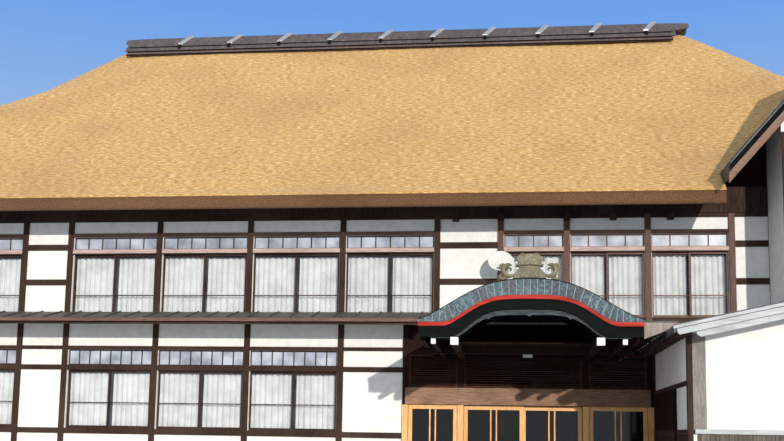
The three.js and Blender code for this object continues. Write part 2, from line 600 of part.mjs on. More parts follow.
// A slab between two waves; all slabs share their steps, so that their curved edges fit
const PORCH_STEP = 100;

function porchBand(half, low, high, y0, y1) {
  const count = Math.ceil(half / PORCH_STEP) - 1;
  const steps = Array.from({ length: 2 * count + 1 }, (_, step) => (step - count) * PORCH_STEP);
  const xs = [-half, ...steps, half];
  const outline = [...xs.map((x) => [x, low(x)]), ...[...xs].reverse().map((x) => [x, high(x)])];
  return profileSlab(outline, y0, y1);
}

// The copper roof, with a flat wing at its right that closes the gap to the low room's eaves
function porchRoof() {
  const back = -LEAN_DEEP;
  const end = PORCH_TAIL + 600;
  const shell = porchBand(PORCH_TAIL, (x) => porchLine(x) + PORCH_STRIP, porchTop, -PORCH_OUT, back);
  const wing = block(PORCH_TAIL - 10, end, -PORCH_OUT + 80, back, 3270, 3300);
  const fascia = profileSlab([[PORCH_TAIL + 0.5, 2975], [2365, 3115], [end, 3166], [end, 3290],
    [PORCH_TAIL + 0.5, 3290]], -PORCH_OUT + 80, -PORCH_OUT + 140);
  return joined([shell, wing, fascia]);
}

// Beams from front to back, each as its middle, width, depth and the drop of its top
const PORCH_BEAMS = [[-1712, 75, 85, 30], [-1335, 135, 130, 0], [1243, 135, 130, 0], [1662, 75, 85, 30]];

function porchFrame() {
  const beams = PORCH_BEAMS.map(([x, wide, deep, drop]) => block(x - wide / 2, x + wide / 2,
    -PORCH_OUT - 40, -50, PORCH_BEAM_TOP - drop - deep, PORCH_BEAM_TOP - drop));
  for (const side of [-1, 1]) {
    beams.push(block(side * 1930 - 45, side * 1930 + 45, -PORCH_OUT + 250, -80, PORCH_BEAM_TOP - 40,
      PORCH_EDGE + PORCH_STRIP - FIT));
  }
  for (const y of [-1900, -250]) {
    beams.push(block(-1975, 1975, y - 60, y + 60, PORCH_BEAM_TOP - 140, PORCH_BEAM_TOP - 10));
  }
  beams.push(block(-1975, 1975, -140, -20 - FIT, PORCH_BEAM_TOP - 120, PORCH_BEAM_TOP - 5));
  return joined(beams);
}

function innerBoard() {
  const cusp = (x) => (Math.abs(x) < 1 ? 25 : 0);
  return porchBand(1780, (x) => PORCH_BEAM_TOP + FIT + 420 * wave(x, 1380, 2.3) - cusp(x),
    (x) => porchBoardLow(x) + 60, -PORCH_OUT + 80, -PORCH_OUT + 140);
}

// Scrolled ornament that stands on the porch's front ridge end
function ornament() {
  const half = [[0, 0], [330, 0], [560, 20], [620, 90], [560, 170], [470, 150], [430, 230], [340, 270],
    [280, 380], [180, 430], [90, 520], [0, 540]];
  const base = porchTop(0) - 60;
  const outline = [...half.map(([x, z]) => [x, z]), ...half.slice(1, -1).reverse().map(([x, z]) => [-x,
    z])];
  const body = profileSlab(outline.map(([x, z]) => [x, z + base]), -PORCH_OUT - 20, -PORCH_OUT + 120);
  return cut(body, [porchBand(PORCH_TAIL, () => PORCH_BEAM_TOP, (x) => porchTop(x) + FIT, -PORCH_OUT - 100,
    -PORCH_OUT + 300)]);
}

addPiece("porch_roof", porchRoof(), "copper");
addPiece("porch_red_strip", porchBand(PORCH_TAIL, porchLine, (x) => porchLine(x) + PORCH_STRIP - FIT,
  -PORCH_OUT + 5, -PORCH_OUT + 120), "red");
addPiece("porch_bargeboard", porchBand(PORCH_BOARD_HALF, porchBoardLow, (x) => porchLine(x) - FIT,
  -PORCH_OUT + 20, -PORCH_OUT + 79), "black");
addPiece("porch_inner_board", innerBoard(), "grey");
addPiece("porch_beams", porchFrame(), "timber");
addPiece("porch_ridge_ornament", ornament(), "carved");
addPiece("porch_ceiling", block(-1257, 1165, -2700, -250, PORCH_BEAM_TOP - 10 + FIT, PORCH_BEAM_TOP + 15),
  "board");
addPiece("porch_lantern", joined([block(-110, 110, -1710, -1490, 2770, 2950), block(-20, 20, -1620, -1580,
  2940, PORCH_BEAM_TOP - 10)]), "white");

// Small dish aerial on an arm from the post over the porch
function dishAerial() {
  const radius = 260;
  const bowl = new THREE.LatheGeometry([[0, 0], [0.55, 0.03], [1, 0.14], [1.02, 0.19], [0.55, 0.08], [0,
    0.05]]
    .map(([r, h]) => new THREE.Vector2(r * radius, h * radius)), 24);
  bowl.rotateX(Math.PI / 2 - 0.5).translate(-550, -420, 4930);
  return joined([bowl, block(-575, -525, -440, -FIT, 4880, 4920), block(-590, -510, -30, -FIT, 4800,
    5000)]);
}

addPiece("dish_aerial", dishAerial(), "white");

// Low gabled room at the right of the porch
function lowRoofLine(x) {
  const middle = (LOW_LEFT + LOW_RIGHT) / 2;
  return LOW_EAVE + LOW_RISE * (middle - LOW_LEFT + LOW_SIDE_OUT - Math.abs(x - middle));
}

const besideTallBay = () => block(TALL_LEFT - FIT - 41, TALL_RIGHT + 100, TALL_FRONT - 41 - FIT, 100, -10,
  9000);

function lowGable(deep, y0, y1, side = LOW_SIDE_OUT) {
  const xs = [LOW_LEFT - side, (LOW_LEFT + LOW_RIGHT) / 2, LOW_RIGHT + side];
  return profileSlab([...xs.map((x) => [x, lowRoofLine(x) - deep]),
    ...[...xs].reverse().map((x) => [x, lowRoofLine(x)])], y0, y1);
}

function lowWall(x0, x1, y0, y1) {
  const middle = (LOW_LEFT + LOW_RIGHT) / 2;
  const xs = x0 < middle && x1 > middle ? [x0, middle, x1] : [x0, x1];
  const outline = [[x0, STONE_TOP + FIT], [x1, STONE_TOP + FIT], ...xs.reverse().map((x) => [x,
    lowRoofLine(x) - 120 - FIT])];
  return profileSlab(outline, y0, y1);
}

function lowFrame() {
  const left = LOW_LEFT + FIT;
  const pieces = [block(left - 30, left + 55, LOW_FRONT - 30, LOW_FRONT + 90, STONE_TOP + FIT,
    lowRoofLine(LOW_LEFT) - 130),
    block(LOW_RIGHT - 90, LOW_RIGHT + 30, LOW_FRONT - 30, LOW_FRONT + 90, STONE_TOP + FIT,
      lowRoofLine(LOW_LEFT) - 130)];
  for (const [z0, z1, front] of [[1330, 1400, true], [2150, 2230, false], [STONE_TOP + FIT, 560, true]]) {
    pieces.push(block(left - 25, left + 50, LOW_FRONT + 10, -60, z0, z1));
    if (front) pieces.push(block(left + 10, LOW_RIGHT - 10, LOW_FRONT - 25, LOW_FRONT + 50, z0, z1));
  }
  pieces.push(block(left - 30, left + 90, -180, -60, STONE_TOP + FIT, lowRoofLine(LOW_LEFT) - 130));
  return pieces;
}

const lowFrameBody = joined(lowFrame());
const lowClear = joined(lowFrame().map((piece) => {
  piece.computeBoundingBox();
  const { min, max } = piece.boundingBox;
  return block(min.x - FIT, max.x + FIT, min.y - FIT, max.y + FIT, min.z - FIT, max.z + FIT);
}));
addPiece("low_roof", cut(lowGable(120, LOW_FRONT - LOW_FRONT_OUT, -FIT - 41), [besideTallBay()]), "slate");
addPiece("low_bargeboard", lowGable(160, LOW_FRONT - LOW_FRONT_OUT - 40, LOW_FRONT - LOW_FRONT_OUT - FIT,
  LOW_SIDE_OUT + 20),
  "grey");
addPiece("low_front_wall", cut(lowWall(LOW_LEFT + 5, LOW_RIGHT - 5, LOW_FRONT, LOW_FRONT + 120),
  [lowClear]), "plaster");
addPiece("low_left_wall", cut(lowWall(LOW_LEFT, LOW_LEFT + 120, LOW_FRONT + 120 + FIT, -60), [lowClear]),
  "plaster");
addPiece("low_right_wall", cut(lowWall(LOW_RIGHT - 120, LOW_RIGHT, LOW_FRONT + 120 + FIT,
  TALL_FRONT - 41 - FIT),
  [lowClear]), "plaster");
addPiece("low_timber_frame", lowFrameBody, "timber");

// Tall bay with a steep gable at the right
function tallFrontWall() {
  const middle = (TALL_LEFT + TALL_RIGHT) / 2;
  const top = TALL_EAVE - TALL_ROOF_DEEP - FIT + TALL_RISE * TALL_SIDE_OUT;
  const peak = top + TALL_RISE * (middle - TALL_LEFT);
  const holes = [[middle - 1300, middle - 60, UPPER_SILL, UPPER_TRANSOM_TOP],
    [middle + 60, middle + 1300, UPPER_SILL, UPPER_TRANSOM_TOP]];
  const wall = plate(TALL_LEFT, TALL_RIGHT, STONE_TOP + FIT, top - 400, TALL_FRONT, TALL_FRONT + 120,
    holes);
  const gable = profileSlab([[TALL_LEFT, top - 400], [TALL_RIGHT, top - 400], [TALL_RIGHT, top], [middle,
    peak],
    [TALL_LEFT, top]], TALL_FRONT, TALL_FRONT + 120);
  return joined([wall, gable]);
}

function tallSideWall(x0, x1) {
  const top = TALL_EAVE - TALL_ROOF_DEEP - FIT + TALL_RISE * (TALL_SIDE_OUT);
  return block(x0, x1, TALL_FRONT + 120 + FIT, -FIT, STONE_TOP + FIT, top);
}

function tallLattice() {
  const middle = (TALL_LEFT + TALL_RIGHT) / 2;
  const top = 7420;
  const posts = [[TALL_LEFT + 65, 130], [middle, 120], [TALL_RIGHT - 65, 130]];
  const rails = [[UPPER_SILL - 110, UPPER_SILL], [UPPER_TRANSOM_TOP, UPPER_TRANSOM_TOP + 80], [6100, 6250],
    [7300, 7420]].map(([low, high]) => [TALL_LEFT, TALL_RIGHT, low, high]);
  return timberLattice(posts, rails, STONE_TOP + FIT, top);
}

function tallBargeboard() {
  const middle = (TALL_LEFT + TALL_RIGHT) / 2;
  const half = middle - TALL_LEFT + TALL_SIDE_OUT + 40;
  const apex = TALL_EAVE + (half - 40) * TALL_RISE - TALL_BOARD_DROP;
  const low = apex - half * TALL_RISE;
  const outline = [[middle - half, low - TALL_BOARD_DEEP], [middle, apex - TALL_BOARD_DEEP],
    [middle + half, low - TALL_BOARD_DEEP], [middle + half, low], [middle, apex], [middle - half, low]];
  const front = TALL_FRONT - TALL_FRONT_OUT;
  return profileSlab(outline, front - 60, front - FIT);
}

addPiece("tall_front_wall", tallFrontWall(), "plaster");
addPiece("tall_left_wall", tallSideWall(TALL_LEFT, TALL_LEFT + 120), "plaster");
addPiece("tall_right_wall", tallSideWall(TALL_RIGHT - 120, TALL_RIGHT), "plaster");
addPiece("tall_timber_frame", tallLattice(), "timber", 0, TALL_FRONT - FRAME_DEEP - FIT, 0);
addPiece("tall_front_glass", block(5300, 8500, TALL_FRONT + 120 + FIT, TALL_FRONT + 126 + FIT,
  UPPER_SILL - 50,
  UPPER_TRANSOM_TOP + 50), "glass");
addPiece("tall_roof", tallRoof(), "slate");
addPiece("tall_bargeboard", tallBargeboard(), "board");

export default house;
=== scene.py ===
# %% [markdown]
# # A thatched farmhouse, dressed in Blender
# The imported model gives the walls, floors, frames and doors in metres. This lesson loads it as a fixed
# frame, then adds the surfaces that a visitor sees: straw, sheet metal, plaster, stained wood and glass.

# %% Load the frame
import bmesh
import bpy
import numpy as np
from mathutils import Matrix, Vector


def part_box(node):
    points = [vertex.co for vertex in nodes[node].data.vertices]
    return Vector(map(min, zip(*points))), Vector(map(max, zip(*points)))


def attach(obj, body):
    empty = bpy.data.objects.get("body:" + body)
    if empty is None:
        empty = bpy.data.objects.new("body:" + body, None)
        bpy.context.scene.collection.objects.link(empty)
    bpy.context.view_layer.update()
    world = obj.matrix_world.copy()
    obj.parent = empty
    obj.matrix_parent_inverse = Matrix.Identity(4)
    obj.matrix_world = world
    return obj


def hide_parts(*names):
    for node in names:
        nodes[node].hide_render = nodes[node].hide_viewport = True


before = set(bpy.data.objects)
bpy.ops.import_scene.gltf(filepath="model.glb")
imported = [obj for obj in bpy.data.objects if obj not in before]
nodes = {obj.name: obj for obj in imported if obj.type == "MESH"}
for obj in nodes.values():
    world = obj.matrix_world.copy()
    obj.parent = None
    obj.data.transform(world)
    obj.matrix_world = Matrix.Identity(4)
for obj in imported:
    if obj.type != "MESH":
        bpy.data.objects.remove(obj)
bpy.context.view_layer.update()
print("frame loaded with", len(nodes), "nodes")

# %% [markdown]
# The photograph was taken from low ground, a little left of the porch, with a lens of about 46 mm. Its
# upright lines stay nearly parallel, so part of the upward look is a lens shift and the rest is a tilt.

# %% Camera at the photograph's place
def place_camera(place, yaw, pitch, roll, lens, shift):
    """Aims a camera by its yaw to the left, its pitch upwards and its clockwise roll, in degrees."""
    yaw, pitch, roll = np.radians([yaw, pitch, roll])
    ahead = np.array([-np.sin(yaw) * np.cos(pitch), np.cos(yaw) * np.cos(pitch), np.sin(pitch)])
    right = np.array([np.cos(yaw), np.sin(yaw), 0.0])
    up = np.cross(right, ahead)
    rolled_right = right * np.cos(roll) + up * np.sin(roll)
    rolled_up = -right * np.sin(roll) + up * np.cos(roll)
    turn = np.eye(4)
    turn[:3, 0], turn[:3, 1], turn[:3, 2], turn[:3, 3] = rolled_right, rolled_up, -ahead, place
    data = bpy.data.cameras.new("photo_camera")
    data.lens, data.sensor_width = lens, 36.0
    data.shift_x, data.shift_y = shift
    data.clip_end = 400
    camera = bpy.data.objects.new("photo_camera", data)
    camera.matrix_world = Matrix(turn.tolist())
    bpy.context.scene.collection.objects.link(camera)
    bpy.context.scene.camera = camera


place_camera(place=(-0.353, -21.685, 1.161), yaw=6.705, pitch=7.017, roll=0.94, lens=46.32, shift=(0.0, 0.12))
print("camera placed")

# %% [markdown]
# Colours are read off as sRGB hex values, the way a paint card gives them, and one function turns them
# to the linear values that shaders expect. One helper adds a shader node with its settings and links.

# %% Colour and node helpers
def linear(hex_colour):
    """Each channel: below 0.04045 it is divided by 12.92, above it is ((c + 0.055) / 1.055) to the 2.4."""
    channel = np.array([int(hex_colour[i:i + 2], 16) / 255 for i in (1, 3, 5)])
    value = np.where(channel <= 0.04045, channel / 12.92, ((channel + 0.055) / 1.055) ** 2.4)
    return (*value.tolist(), 1.0)


def add_node(tree, kind, inputs=None, stops=None, **settings):
    """Adds one shader node, sets its settings, then fills or links its inputs and its ramp's stops."""
    node = tree.nodes.new("ShaderNode" + kind)
    for key, value in settings.items():
        setattr(node, key, value)
    if stops:
        ramp = node.color_ramp.elements
        while len(ramp) < len(stops):
            ramp.new(0.5)
        for stop, (place, colour) in zip(ramp, stops):
            stop.position, stop.color = place, linear(colour)
    for key, value in (inputs or {}).items():
        if isinstance(value, bpy.types.NodeSocket):
            tree.links.new(value, node.inputs[key])
        else:
            node.inputs[key].default_value = value
    return node


def new_material(name, roughness=0.6, metallic=0.0, **shader):
    """Makes a material with one Principled shader and returns it with its tree and shader node."""
    material = bpy.data.materials.new(name)
    material.use_nodes = True
    tree = material.node_tree
    bsdf = tree.nodes["Principled BSDF"]
    bsdf.inputs["Roughness"].default_value = roughness
    bsdf.inputs["Metallic"].default_value = metallic
    for key, value in shader.items():
        bsdf.inputs[key.replace("_", " ")].default_value = value
    return material, tree, bsdf

# %% [markdown]
# Most finishes here are one idea with different numbers: a grain that is long in one direction, larger
# patches where sun and rain have worked on it, joints between boards, and a bump from the same grain.
# Writing it once keeps each finish down to its real name, its colours and its sizes in millimetres.

# %% Weathered finish recipe
def weathered(name, dark, middle, light, roughness, grain_mm, stretch=(1, 1, 1), bump_mm=1.0, patch_mm=900,
              patch=None, patch_share=0.35, boards=None, metallic=0.0, **shader):
    """Grain noise over Object coordinates picks between three tones; broad noise mixes in a patch tone.
    boards = (axis, width in metres, joint tone) cuts the surface into boards, each with its own tone."""
    material, tree, bsdf = new_material(name, roughness, metallic, **shader)
    place = add_node(tree, "TexCoord").outputs["Object"]
    mapped = add_node(tree, "Mapping", {"Vector": place, "Scale": stretch}).outputs["Vector"]
    grain = add_node(tree, "TexNoise", {"Vector": mapped, "Scale": 1000 / grain_mm, "Detail": 5,
                                        "Roughness": 0.62}).outputs["Fac"]
    tone = add_node(tree, "ValToRGB", {"Fac": grain},
                    stops=[(0.3, dark), (0.5, middle), (0.72, light)]).outputs["Color"]
    broad = add_node(tree, "TexNoise", {"Vector": place, "Scale": 1000 / patch_mm,
                                        "Detail": 3}).outputs["Fac"]
    share = add_node(tree, "MapRange", {"Value": broad, "From Min": 0.42, "From Max": 0.7,
                                        "To Max": patch_share}).outputs["Result"]
    tone = add_node(tree, "MixRGB", {"Fac": share, "Color1": tone,
                                     "Color2": linear(patch or dark)}).outputs["Color"]
    height = grain
    if boards:
        axis, width, joint = boards
        along = add_node(tree, "SeparateXYZ", {"Vector": place}).outputs[axis]
        count = add_node(tree, "Math", {0: along, 1: width}, operation="DIVIDE").outputs[0]
        whole = add_node(tree, "Math", {0: count}, operation="FLOOR").outputs[0]
        part = add_node(tree, "Math", {0: count}, operation="FRACT").outputs[0]
        chance = add_node(tree, "TexWhiteNoise", {"W": whole}, noise_dimensions="1D").outputs["Value"]
        shade = add_node(tree, "MapRange", {"Value": chance, "To Min": 0.72,
                                            "To Max": 1.15}).outputs["Result"]
        tone = add_node(tree, "MixRGB", {"Fac": 1.0, "Color1": tone, "Color2": shade},
                        blend_type="MULTIPLY").outputs["Color"]
        edge = add_node(tree, "Math", {0: part, 1: 0.5}, operation="SUBTRACT").outputs[0]
        edge = add_node(tree, "Math", {0: edge}, operation="ABSOLUTE").outputs[0]
        gap = add_node(tree, "MapRange", {"Value": edge, "From Min": 0.455,
                                          "From Max": 0.49}).outputs["Result"]
        tone = add_node(tree, "MixRGB", {"Fac": gap, "Color1": tone,
                                         "Color2": linear(joint)}).outputs["Color"]
        height = add_node(tree, "Math", {0: grain, 1: gap}, operation="SUBTRACT").outputs[0]
    relief = add_node(tree, "Bump", {"Height": height, "Strength": 0.6, "Distance": bump_mm / 1000})
    tree.links.new(tone, bsdf.inputs["Base Color"])
    tree.links.new(relief.outputs["Normal"], bsdf.inputs["Normal"])
    return material

# %% [markdown]
# Each finish starts from the real one. Stained cedar has a long fine grain; lime plaster is matt with
# faint trowel clouds; painted sheet steel is smooth with rain streaks; roof copper turns blue-green.
# The finest grain is drawn a little coarser than life, so that it still shows at this distance.

# %% Finishes of wood, plaster, stone and paint
UPRIGHT = (1, 1, 0.06)
LEVEL = (0.06, 1, 1)
dark_cedar = weathered("stained_cedar_brushed", "#1f130e", "#35251e", "#4e3b31", 0.8, 14, UPRIGHT, 1.2,
                       1400, "#5d493f", 0.4, Specular_IOR_Level=0.2)
red_cedar = weathered("cedar_post_red_stain", "#402720", "#5d3c32", "#7a5547", 0.65, 14, UPRIGHT, 1.0,
                      1100, "#4a3029", 0.4)
rail_cedar = weathered("sun_bleached_cedar_sash", "#4d342b", "#6e5044", "#8e6d5e", 0.7, 14, LEVEL, 1.0,
                       1100, "#543b31", 0.4)
# Its pale tones are painted sunlight on the long rail over the upper windows.
cedar_painted_sunlit = weathered("cedar_rail_painted_sunlit", "#a4877e", "#c4a9a0", "#d8c3bb", 0.75, 16, LEVEL, 1.0,
                       1200, "#93776d", 0.4)
lime_plaster = weathered("lime_plaster_trowelled", "#e6e5e1", "#f1f0ec", "#f8f7f4", 0.9, 160, (1, 1, 1), 1.5,
                         1700, "#dedad0", 0.3)
cut_stone = weathered("granite_rough_cut", "#6d6a64", "#8d8a83", "#a5a29a", 0.9, 18, (1, 1, 1), 3.0,
                      700, "#5d5b52", 0.5, boards=("X", 0.91, "#4a4843"))
floor_boards = weathered("pine_floorboards_waxed", "#5a3d24", "#7f5b39", "#a07a50", 0.45, 20, LEVEL, 0.8,
                         900, "#4b3320", 0.3, boards=("Y", 0.12, "#2a1c11"))
ceiling_boards = weathered("cedar_ceiling_boards", "#170f0a", "#22170f", "#2e2117", 0.85, 18, (1, 0.06, 1),
                           0.8, 900, "#120c08", 0.3, boards=("X", 0.24, "#080503"), Specular_IOR_Level=0.1)
sooty_cedar = weathered("cedar_darkened_by_smoke", "#170a07", "#261410", "#38211a", 0.8, 16, UPRIGHT, 0.8,
                        900, "#1a0f0c", 0.4, Specular_IOR_Level=0.15)
# Its bright tones are partly the varnished wood's own orange and partly painted sunlight on the doors and
# casings.
varnished_wood_painted_sunlit = weathered("zelkova_varnished_painted_sunlit", "#e08f4a", "#ffbe78", "#ffd99a", 0.5, 16, UPRIGHT, 0.6,
                           800, "#bd7136", 0.35, Coat_Weight=0.15)
lintel_wood = weathered("pine_lintel_weathered", "#6b4c3a", "#957158", "#b3907a", 0.75, 15, LEVEL, 1.0,
                        600, "#5a4233", 0.5)
slat_wood = weathered("cedar_slats_smoked", "#2c160d", "#46291b", "#623d2b", 0.8, 14, UPRIGHT, 0.6, 700,
                      "#23120b", 0.3, Specular_IOR_Level=0.2)
red_paint = weathered("red_oxide_paint_brushed", "#8a1d16", "#b22f24", "#c9483a", 0.7, 60, LEVEL, 0.5, 500,
                      "#7a1f18", 0.4, Specular_IOR_Level=0.2)
black_paint = weathered("black_green_paint_on_board", "#070a0a", "#0d1211", "#151b1a", 0.85, 30, LEVEL, 0.6,
                        600, "#161c1b", 0.4, Specular_IOR_Level=0.1)
grey_board = weathered("weathered_grey_board", "#2f3537", "#454c4e", "#666d6f", 0.85, 16, LEVEL, 1.2, 300,
                       "#272c2d", 0.6, Specular_IOR_Level=0.2)
corner_grey = weathered("cedar_board_silvered_upright", "#665f5a", "#89827d", "#a39d98", 0.75, 14,
                        UPRIGHT, 1.2, 500, "#575049", 0.45)
white_paint = weathered("white_oil_paint", "#dcdcd6", "#ecece8", "#f6f6f3", 0.45, 80, (1, 1, 1), 0.4, 500,
                        "#c9c8c0", 0.35)
washed_board = weathered("white_oil_paint_worn", "#a3a7a8", "#babebf", "#cfd3d3", 0.7, 40, LEVEL, 0.6, 400,
                         "#8e9293", 0.4)
mould_tile = weathered("smoked_clay_moulded", "#55503c", "#7d765c", "#a09a80", 0.6, 25, (1, 1, 1), 2.0, 300,
                       "#3b3a2e", 0.45)
barge_wood = weathered("cedar_barge_board", "#5c3b2a", "#85604b", "#a37d66", 0.6, 16, LEVEL, 1.0, 800,
                       "#4b3223", 0.4)
brown_siding = weathered("cedar_siding_upright", "#4f453d", "#6b5f55", "#857970", 0.75, 16, UPRIGHT, 1.2,
                         700, "#3f3731", 0.4, boards=("X", 0.15, "#1f1a16"))
print("wood, plaster, stone and paint finishes made")

# %% [markdown]
# Metal and cloth come from the same recipe: painted steel shows rain streaks, zinc and old copper show
# patches. Glass needs another one, a smooth reflecting face over a thin tint.

# %% Finishes of metal, glass and cloth
STREAKS = (1, 1, 0.12)
ridge_steel = weathered("prepainted_steel_ridge", "#483f3d", "#5a504e", "#6e6462", 0.6, 90, STREAKS, 0.6,
                        1200, "#463d3a", 0.4, Specular_IOR_Level=0.3)
skirt_steel = weathered("prepainted_steel_skirt", "#544440", "#6c5953", "#836f68", 0.6, 90, STREAKS, 0.6,
                        1200, "#493a36", 0.4, Specular_IOR_Level=0.3)
roof_steel = weathered("prepainted_steel_roof", "#26282b", "#383b3f", "#4d5155", 0.5, 70, STREAKS, 0.6,
                       1000, "#5c5f60", 0.4, metallic=0.2)
roof_copper = weathered("copper_sheet_patinated", "#2c3b42", "#455961", "#7b9196", 0.6, 55, (1, 1, 1), 1.0,
                        260, "#453b48", 0.75, metallic=0.2)
wing_steel = weathered("prepainted_steel_fascia", "#6f625c", "#8c7e77", "#a5978f", 0.6, 60, STREAKS, 0.6, 500,
                       "#5f534d", 0.4)
pale_copper = weathered("copper_seam_verdigris", "#86a19d", "#a3bab5", "#c0d0cb", 0.5, 40, (1, 1, 1), 0.4,
                        300, "#7d9794", 0.4, metallic=0.1)
clip_steel = weathered("galvanised_clip", "#a7a49f", "#c5c2bd", "#dcdad6", 0.35, 20, (1, 1, 1), 0.3, 200,
                       "#8f8c87", 0.3, metallic=0.7)
lace_cloth = weathered("cotton_lace_curtain", "#dcdcd9", "#eeeeeb", "#fafaf8", 0.95, 22, (1, 1, 1), 1.0, 300,
                       "#b9bab6", 0.4)


def glass_finish(name, alpha, roughness, tones):
    """Glass: a smooth reflecting face over a thin tint, with a faint ripple every half metre."""
    material, tree, bsdf = new_material(name, roughness, 0.0, IOR=1.5, Alpha=alpha)
    place = add_node(tree, "TexCoord").outputs["Object"]
    ripple = add_node(tree, "TexNoise", {"Vector": place, "Scale": 2.2, "Detail": 3}).outputs["Fac"]
    relief = add_node(tree, "Bump", {"Height": ripple, "Strength": 0.15, "Distance": 0.004})
    tree.links.new(relief.outputs["Normal"], bsdf.inputs["Normal"])
    tint = add_node(tree, "ValToRGB", {"Fac": ripple}, stops=list(zip((0.35, 0.65), tones)))
    tree.links.new(tint.outputs["Color"], bsdf.inputs["Base Color"])
    material.surface_render_method = "DITHERED"
    return material


# The pale blue tones of the window glass are partly its tint and partly a painted reflection of the sky.
float_glass = glass_finish("float_glass", 0.1, 0.04, ("#6f8396", "#b4c6dc"))
door_glass = glass_finish("float_glass_over_dark_hall", 0.86, 0.05, ("#060605", "#100f0d"))
figured_glass = glass_finish("figured_glass_frosted", 1.0, 0.3, ("#7f8797", "#c3cbd9"))
print("metal, glass and cloth finishes made")

# %% [markdown]
# Straw thatch is bundles laid down the slope and cut across their ends. From the ground the eye sees
# the cut ends as short level dashes with dark gaps, and darker clouds that are partly weathering and
# partly painted dappled shade of trees. The soft courses about 40 cm apart are in the shape itself. The
# pattern follows the roof's own map, metres along the eave by metres down the slope, so that the dashes
# also lie level on the ends and round the corners. They are drawn about 14 cm by 4 cm, coarser than
# life, because finer ones blur into one tone at this distance.

# %% Straw finishes
def straw_finish(name, tones, streak, cloud_tone):
    """Noise stretched by streak, in cells a metre along the eave and down the slope, picks the straw
    tone. Tufts of about 11 cm mix in the darkest tone, and darker clouds of a few metres add weathering
    together with painted dappled shade of trees."""
    material, tree, bsdf = new_material(name, 0.92, 0.0, Sheen_Weight=0.15)
    straw_map = add_node(tree, "UVMap", uv_map="straw").outputs["UV"]
    stretched = add_node(tree, "Mapping", {"Vector": straw_map, "Scale": streak}).outputs["Vector"]
    straws = add_node(tree, "TexNoise", {"Vector": stretched, "Scale": 1.0, "Detail": 8,
                                         "Roughness": 0.7}).outputs["Fac"]
    tone = add_node(tree, "ValToRGB", {"Fac": straws},
                    stops=list(zip((0.3, 0.5, 0.7), tones))).outputs["Color"]
    tufts = add_node(tree, "TexNoise", {"Vector": straw_map, "Scale": 9.0, "Detail": 6,
                                        "Roughness": 0.75}).outputs["Fac"]
    tuft_share = add_node(tree, "MapRange", {"Value": tufts, "From Min": 0.45, "From Max": 0.75,
                                             "To Max": 0.4}).outputs["Result"]
    tone = add_node(tree, "MixRGB", {"Fac": tuft_share, "Color1": tone,
                                     "Color2": linear(tones[0])}).outputs["Color"]
    clouds = add_node(tree, "TexNoise", {"Vector": straw_map, "Scale": 0.4, "Detail": 4}).outputs["Fac"]
    cloud_share = add_node(tree, "MapRange", {"Value": clouds, "From Min": 0.46, "From Max": 0.68,
                                              "To Max": 0.35}).outputs["Result"]
    tone = add_node(tree, "MixRGB", {"Fac": cloud_share, "Color1": tone,
                                     "Color2": linear(cloud_tone)}).outputs["Color"]
    height = add_node(tree, "Math", {0: straws, 1: tufts}, operation="ADD").outputs[0]
    relief = add_node(tree, "Bump", {"Height": height, "Strength": 0.9, "Distance": 0.03})
    tree.links.new(tone, bsdf.inputs["Base Color"])
    tree.links.new(relief.outputs["Normal"], bsdf.inputs["Normal"])
    return material


# The darker cloud tone is partly weathering and partly painted dappled shade of trees.
straw_top = straw_finish("wheat_straw_thatch", ("#7d4f24", "#d6a456", "#ffecae"), (7, 26, 1), "#a67a46")
# The cut eave face and the underside take far darker tones: partly the browner cut straw, partly painted shade
# under the eave.
straw_cut_and_shade = straw_finish("straw_cut_ends_and_painted_shade", ("#4a2f1e", "#75502f", "#9a7350"), (40, 30, 1), "#3a2517")
print("straw finishes made")

# %% [markdown]
# New pieces are worked out as whole arrays. A few helpers cover nearly all of them: one writes arrays
# into a mesh, one joins a grid of points by quads, one makes many small timbers at once, one carries a
# flat outline along Y, and one turns the faces of a closed mesh outwards.

# %% Mesh helpers
def put_mesh(name, points, faces, finish, body="house", smooth=False):
    """Writes vertex and face arrays straight into a mesh that rides on one body."""
    faces = np.asarray(faces, dtype=np.int32)
    corners = faces.shape[1]
    mesh = bpy.data.meshes.new(name)
    mesh.vertices.add(len(points))
    mesh.vertices.foreach_set("co", np.asarray(points, dtype=np.float32).ravel())
    mesh.loops.add(faces.size)
    mesh.loops.foreach_set("vertex_index", faces.ravel())
    mesh.polygons.add(len(faces))
    mesh.polygons.foreach_set("loop_start", np.arange(0, faces.size, corners, dtype=np.int32))
    mesh.polygons.foreach_set("use_smooth", np.full(len(faces), smooth))
    mesh.materials.append(finish)
    mesh.update(calc_edges=True)
    mesh.validate()
    piece = bpy.data.objects.new(name, mesh)
    bpy.context.scene.collection.objects.link(piece)
    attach(piece, body)
    return piece


def grid_faces(rows, columns, wrap=False):
    """Quads between neighbouring points of a rows by columns grid, joined round when wrap is true."""
    row, column = np.meshgrid(np.arange(rows - 1), np.arange(columns if wrap else columns - 1), indexing="ij")
    following = (column + 1) % columns
    corners = [row * columns + column, row * columns + following, (row + 1) * columns + following,
               (row + 1) * columns + column]
    return np.stack([corner.ravel() for corner in corners], axis=1)


CUBE = np.array([[x, y, z] for x in (0, 1) for y in (0, 1) for z in (0, 1)], dtype=float)
CUBE_LOOP = np.array([[0, 1, 2, 3], [7, 6, 5, 4], [0, 4, 5, 1], [1, 5, 6, 2], [2, 6, 7, 3], [3, 7, 4, 0]])
CUBE_FACES = np.array([[0, 1, 3, 2], [4, 6, 7, 5], [0, 4, 5, 1], [2, 3, 7, 6], [0, 2, 6, 4], [1, 5, 7, 3]])


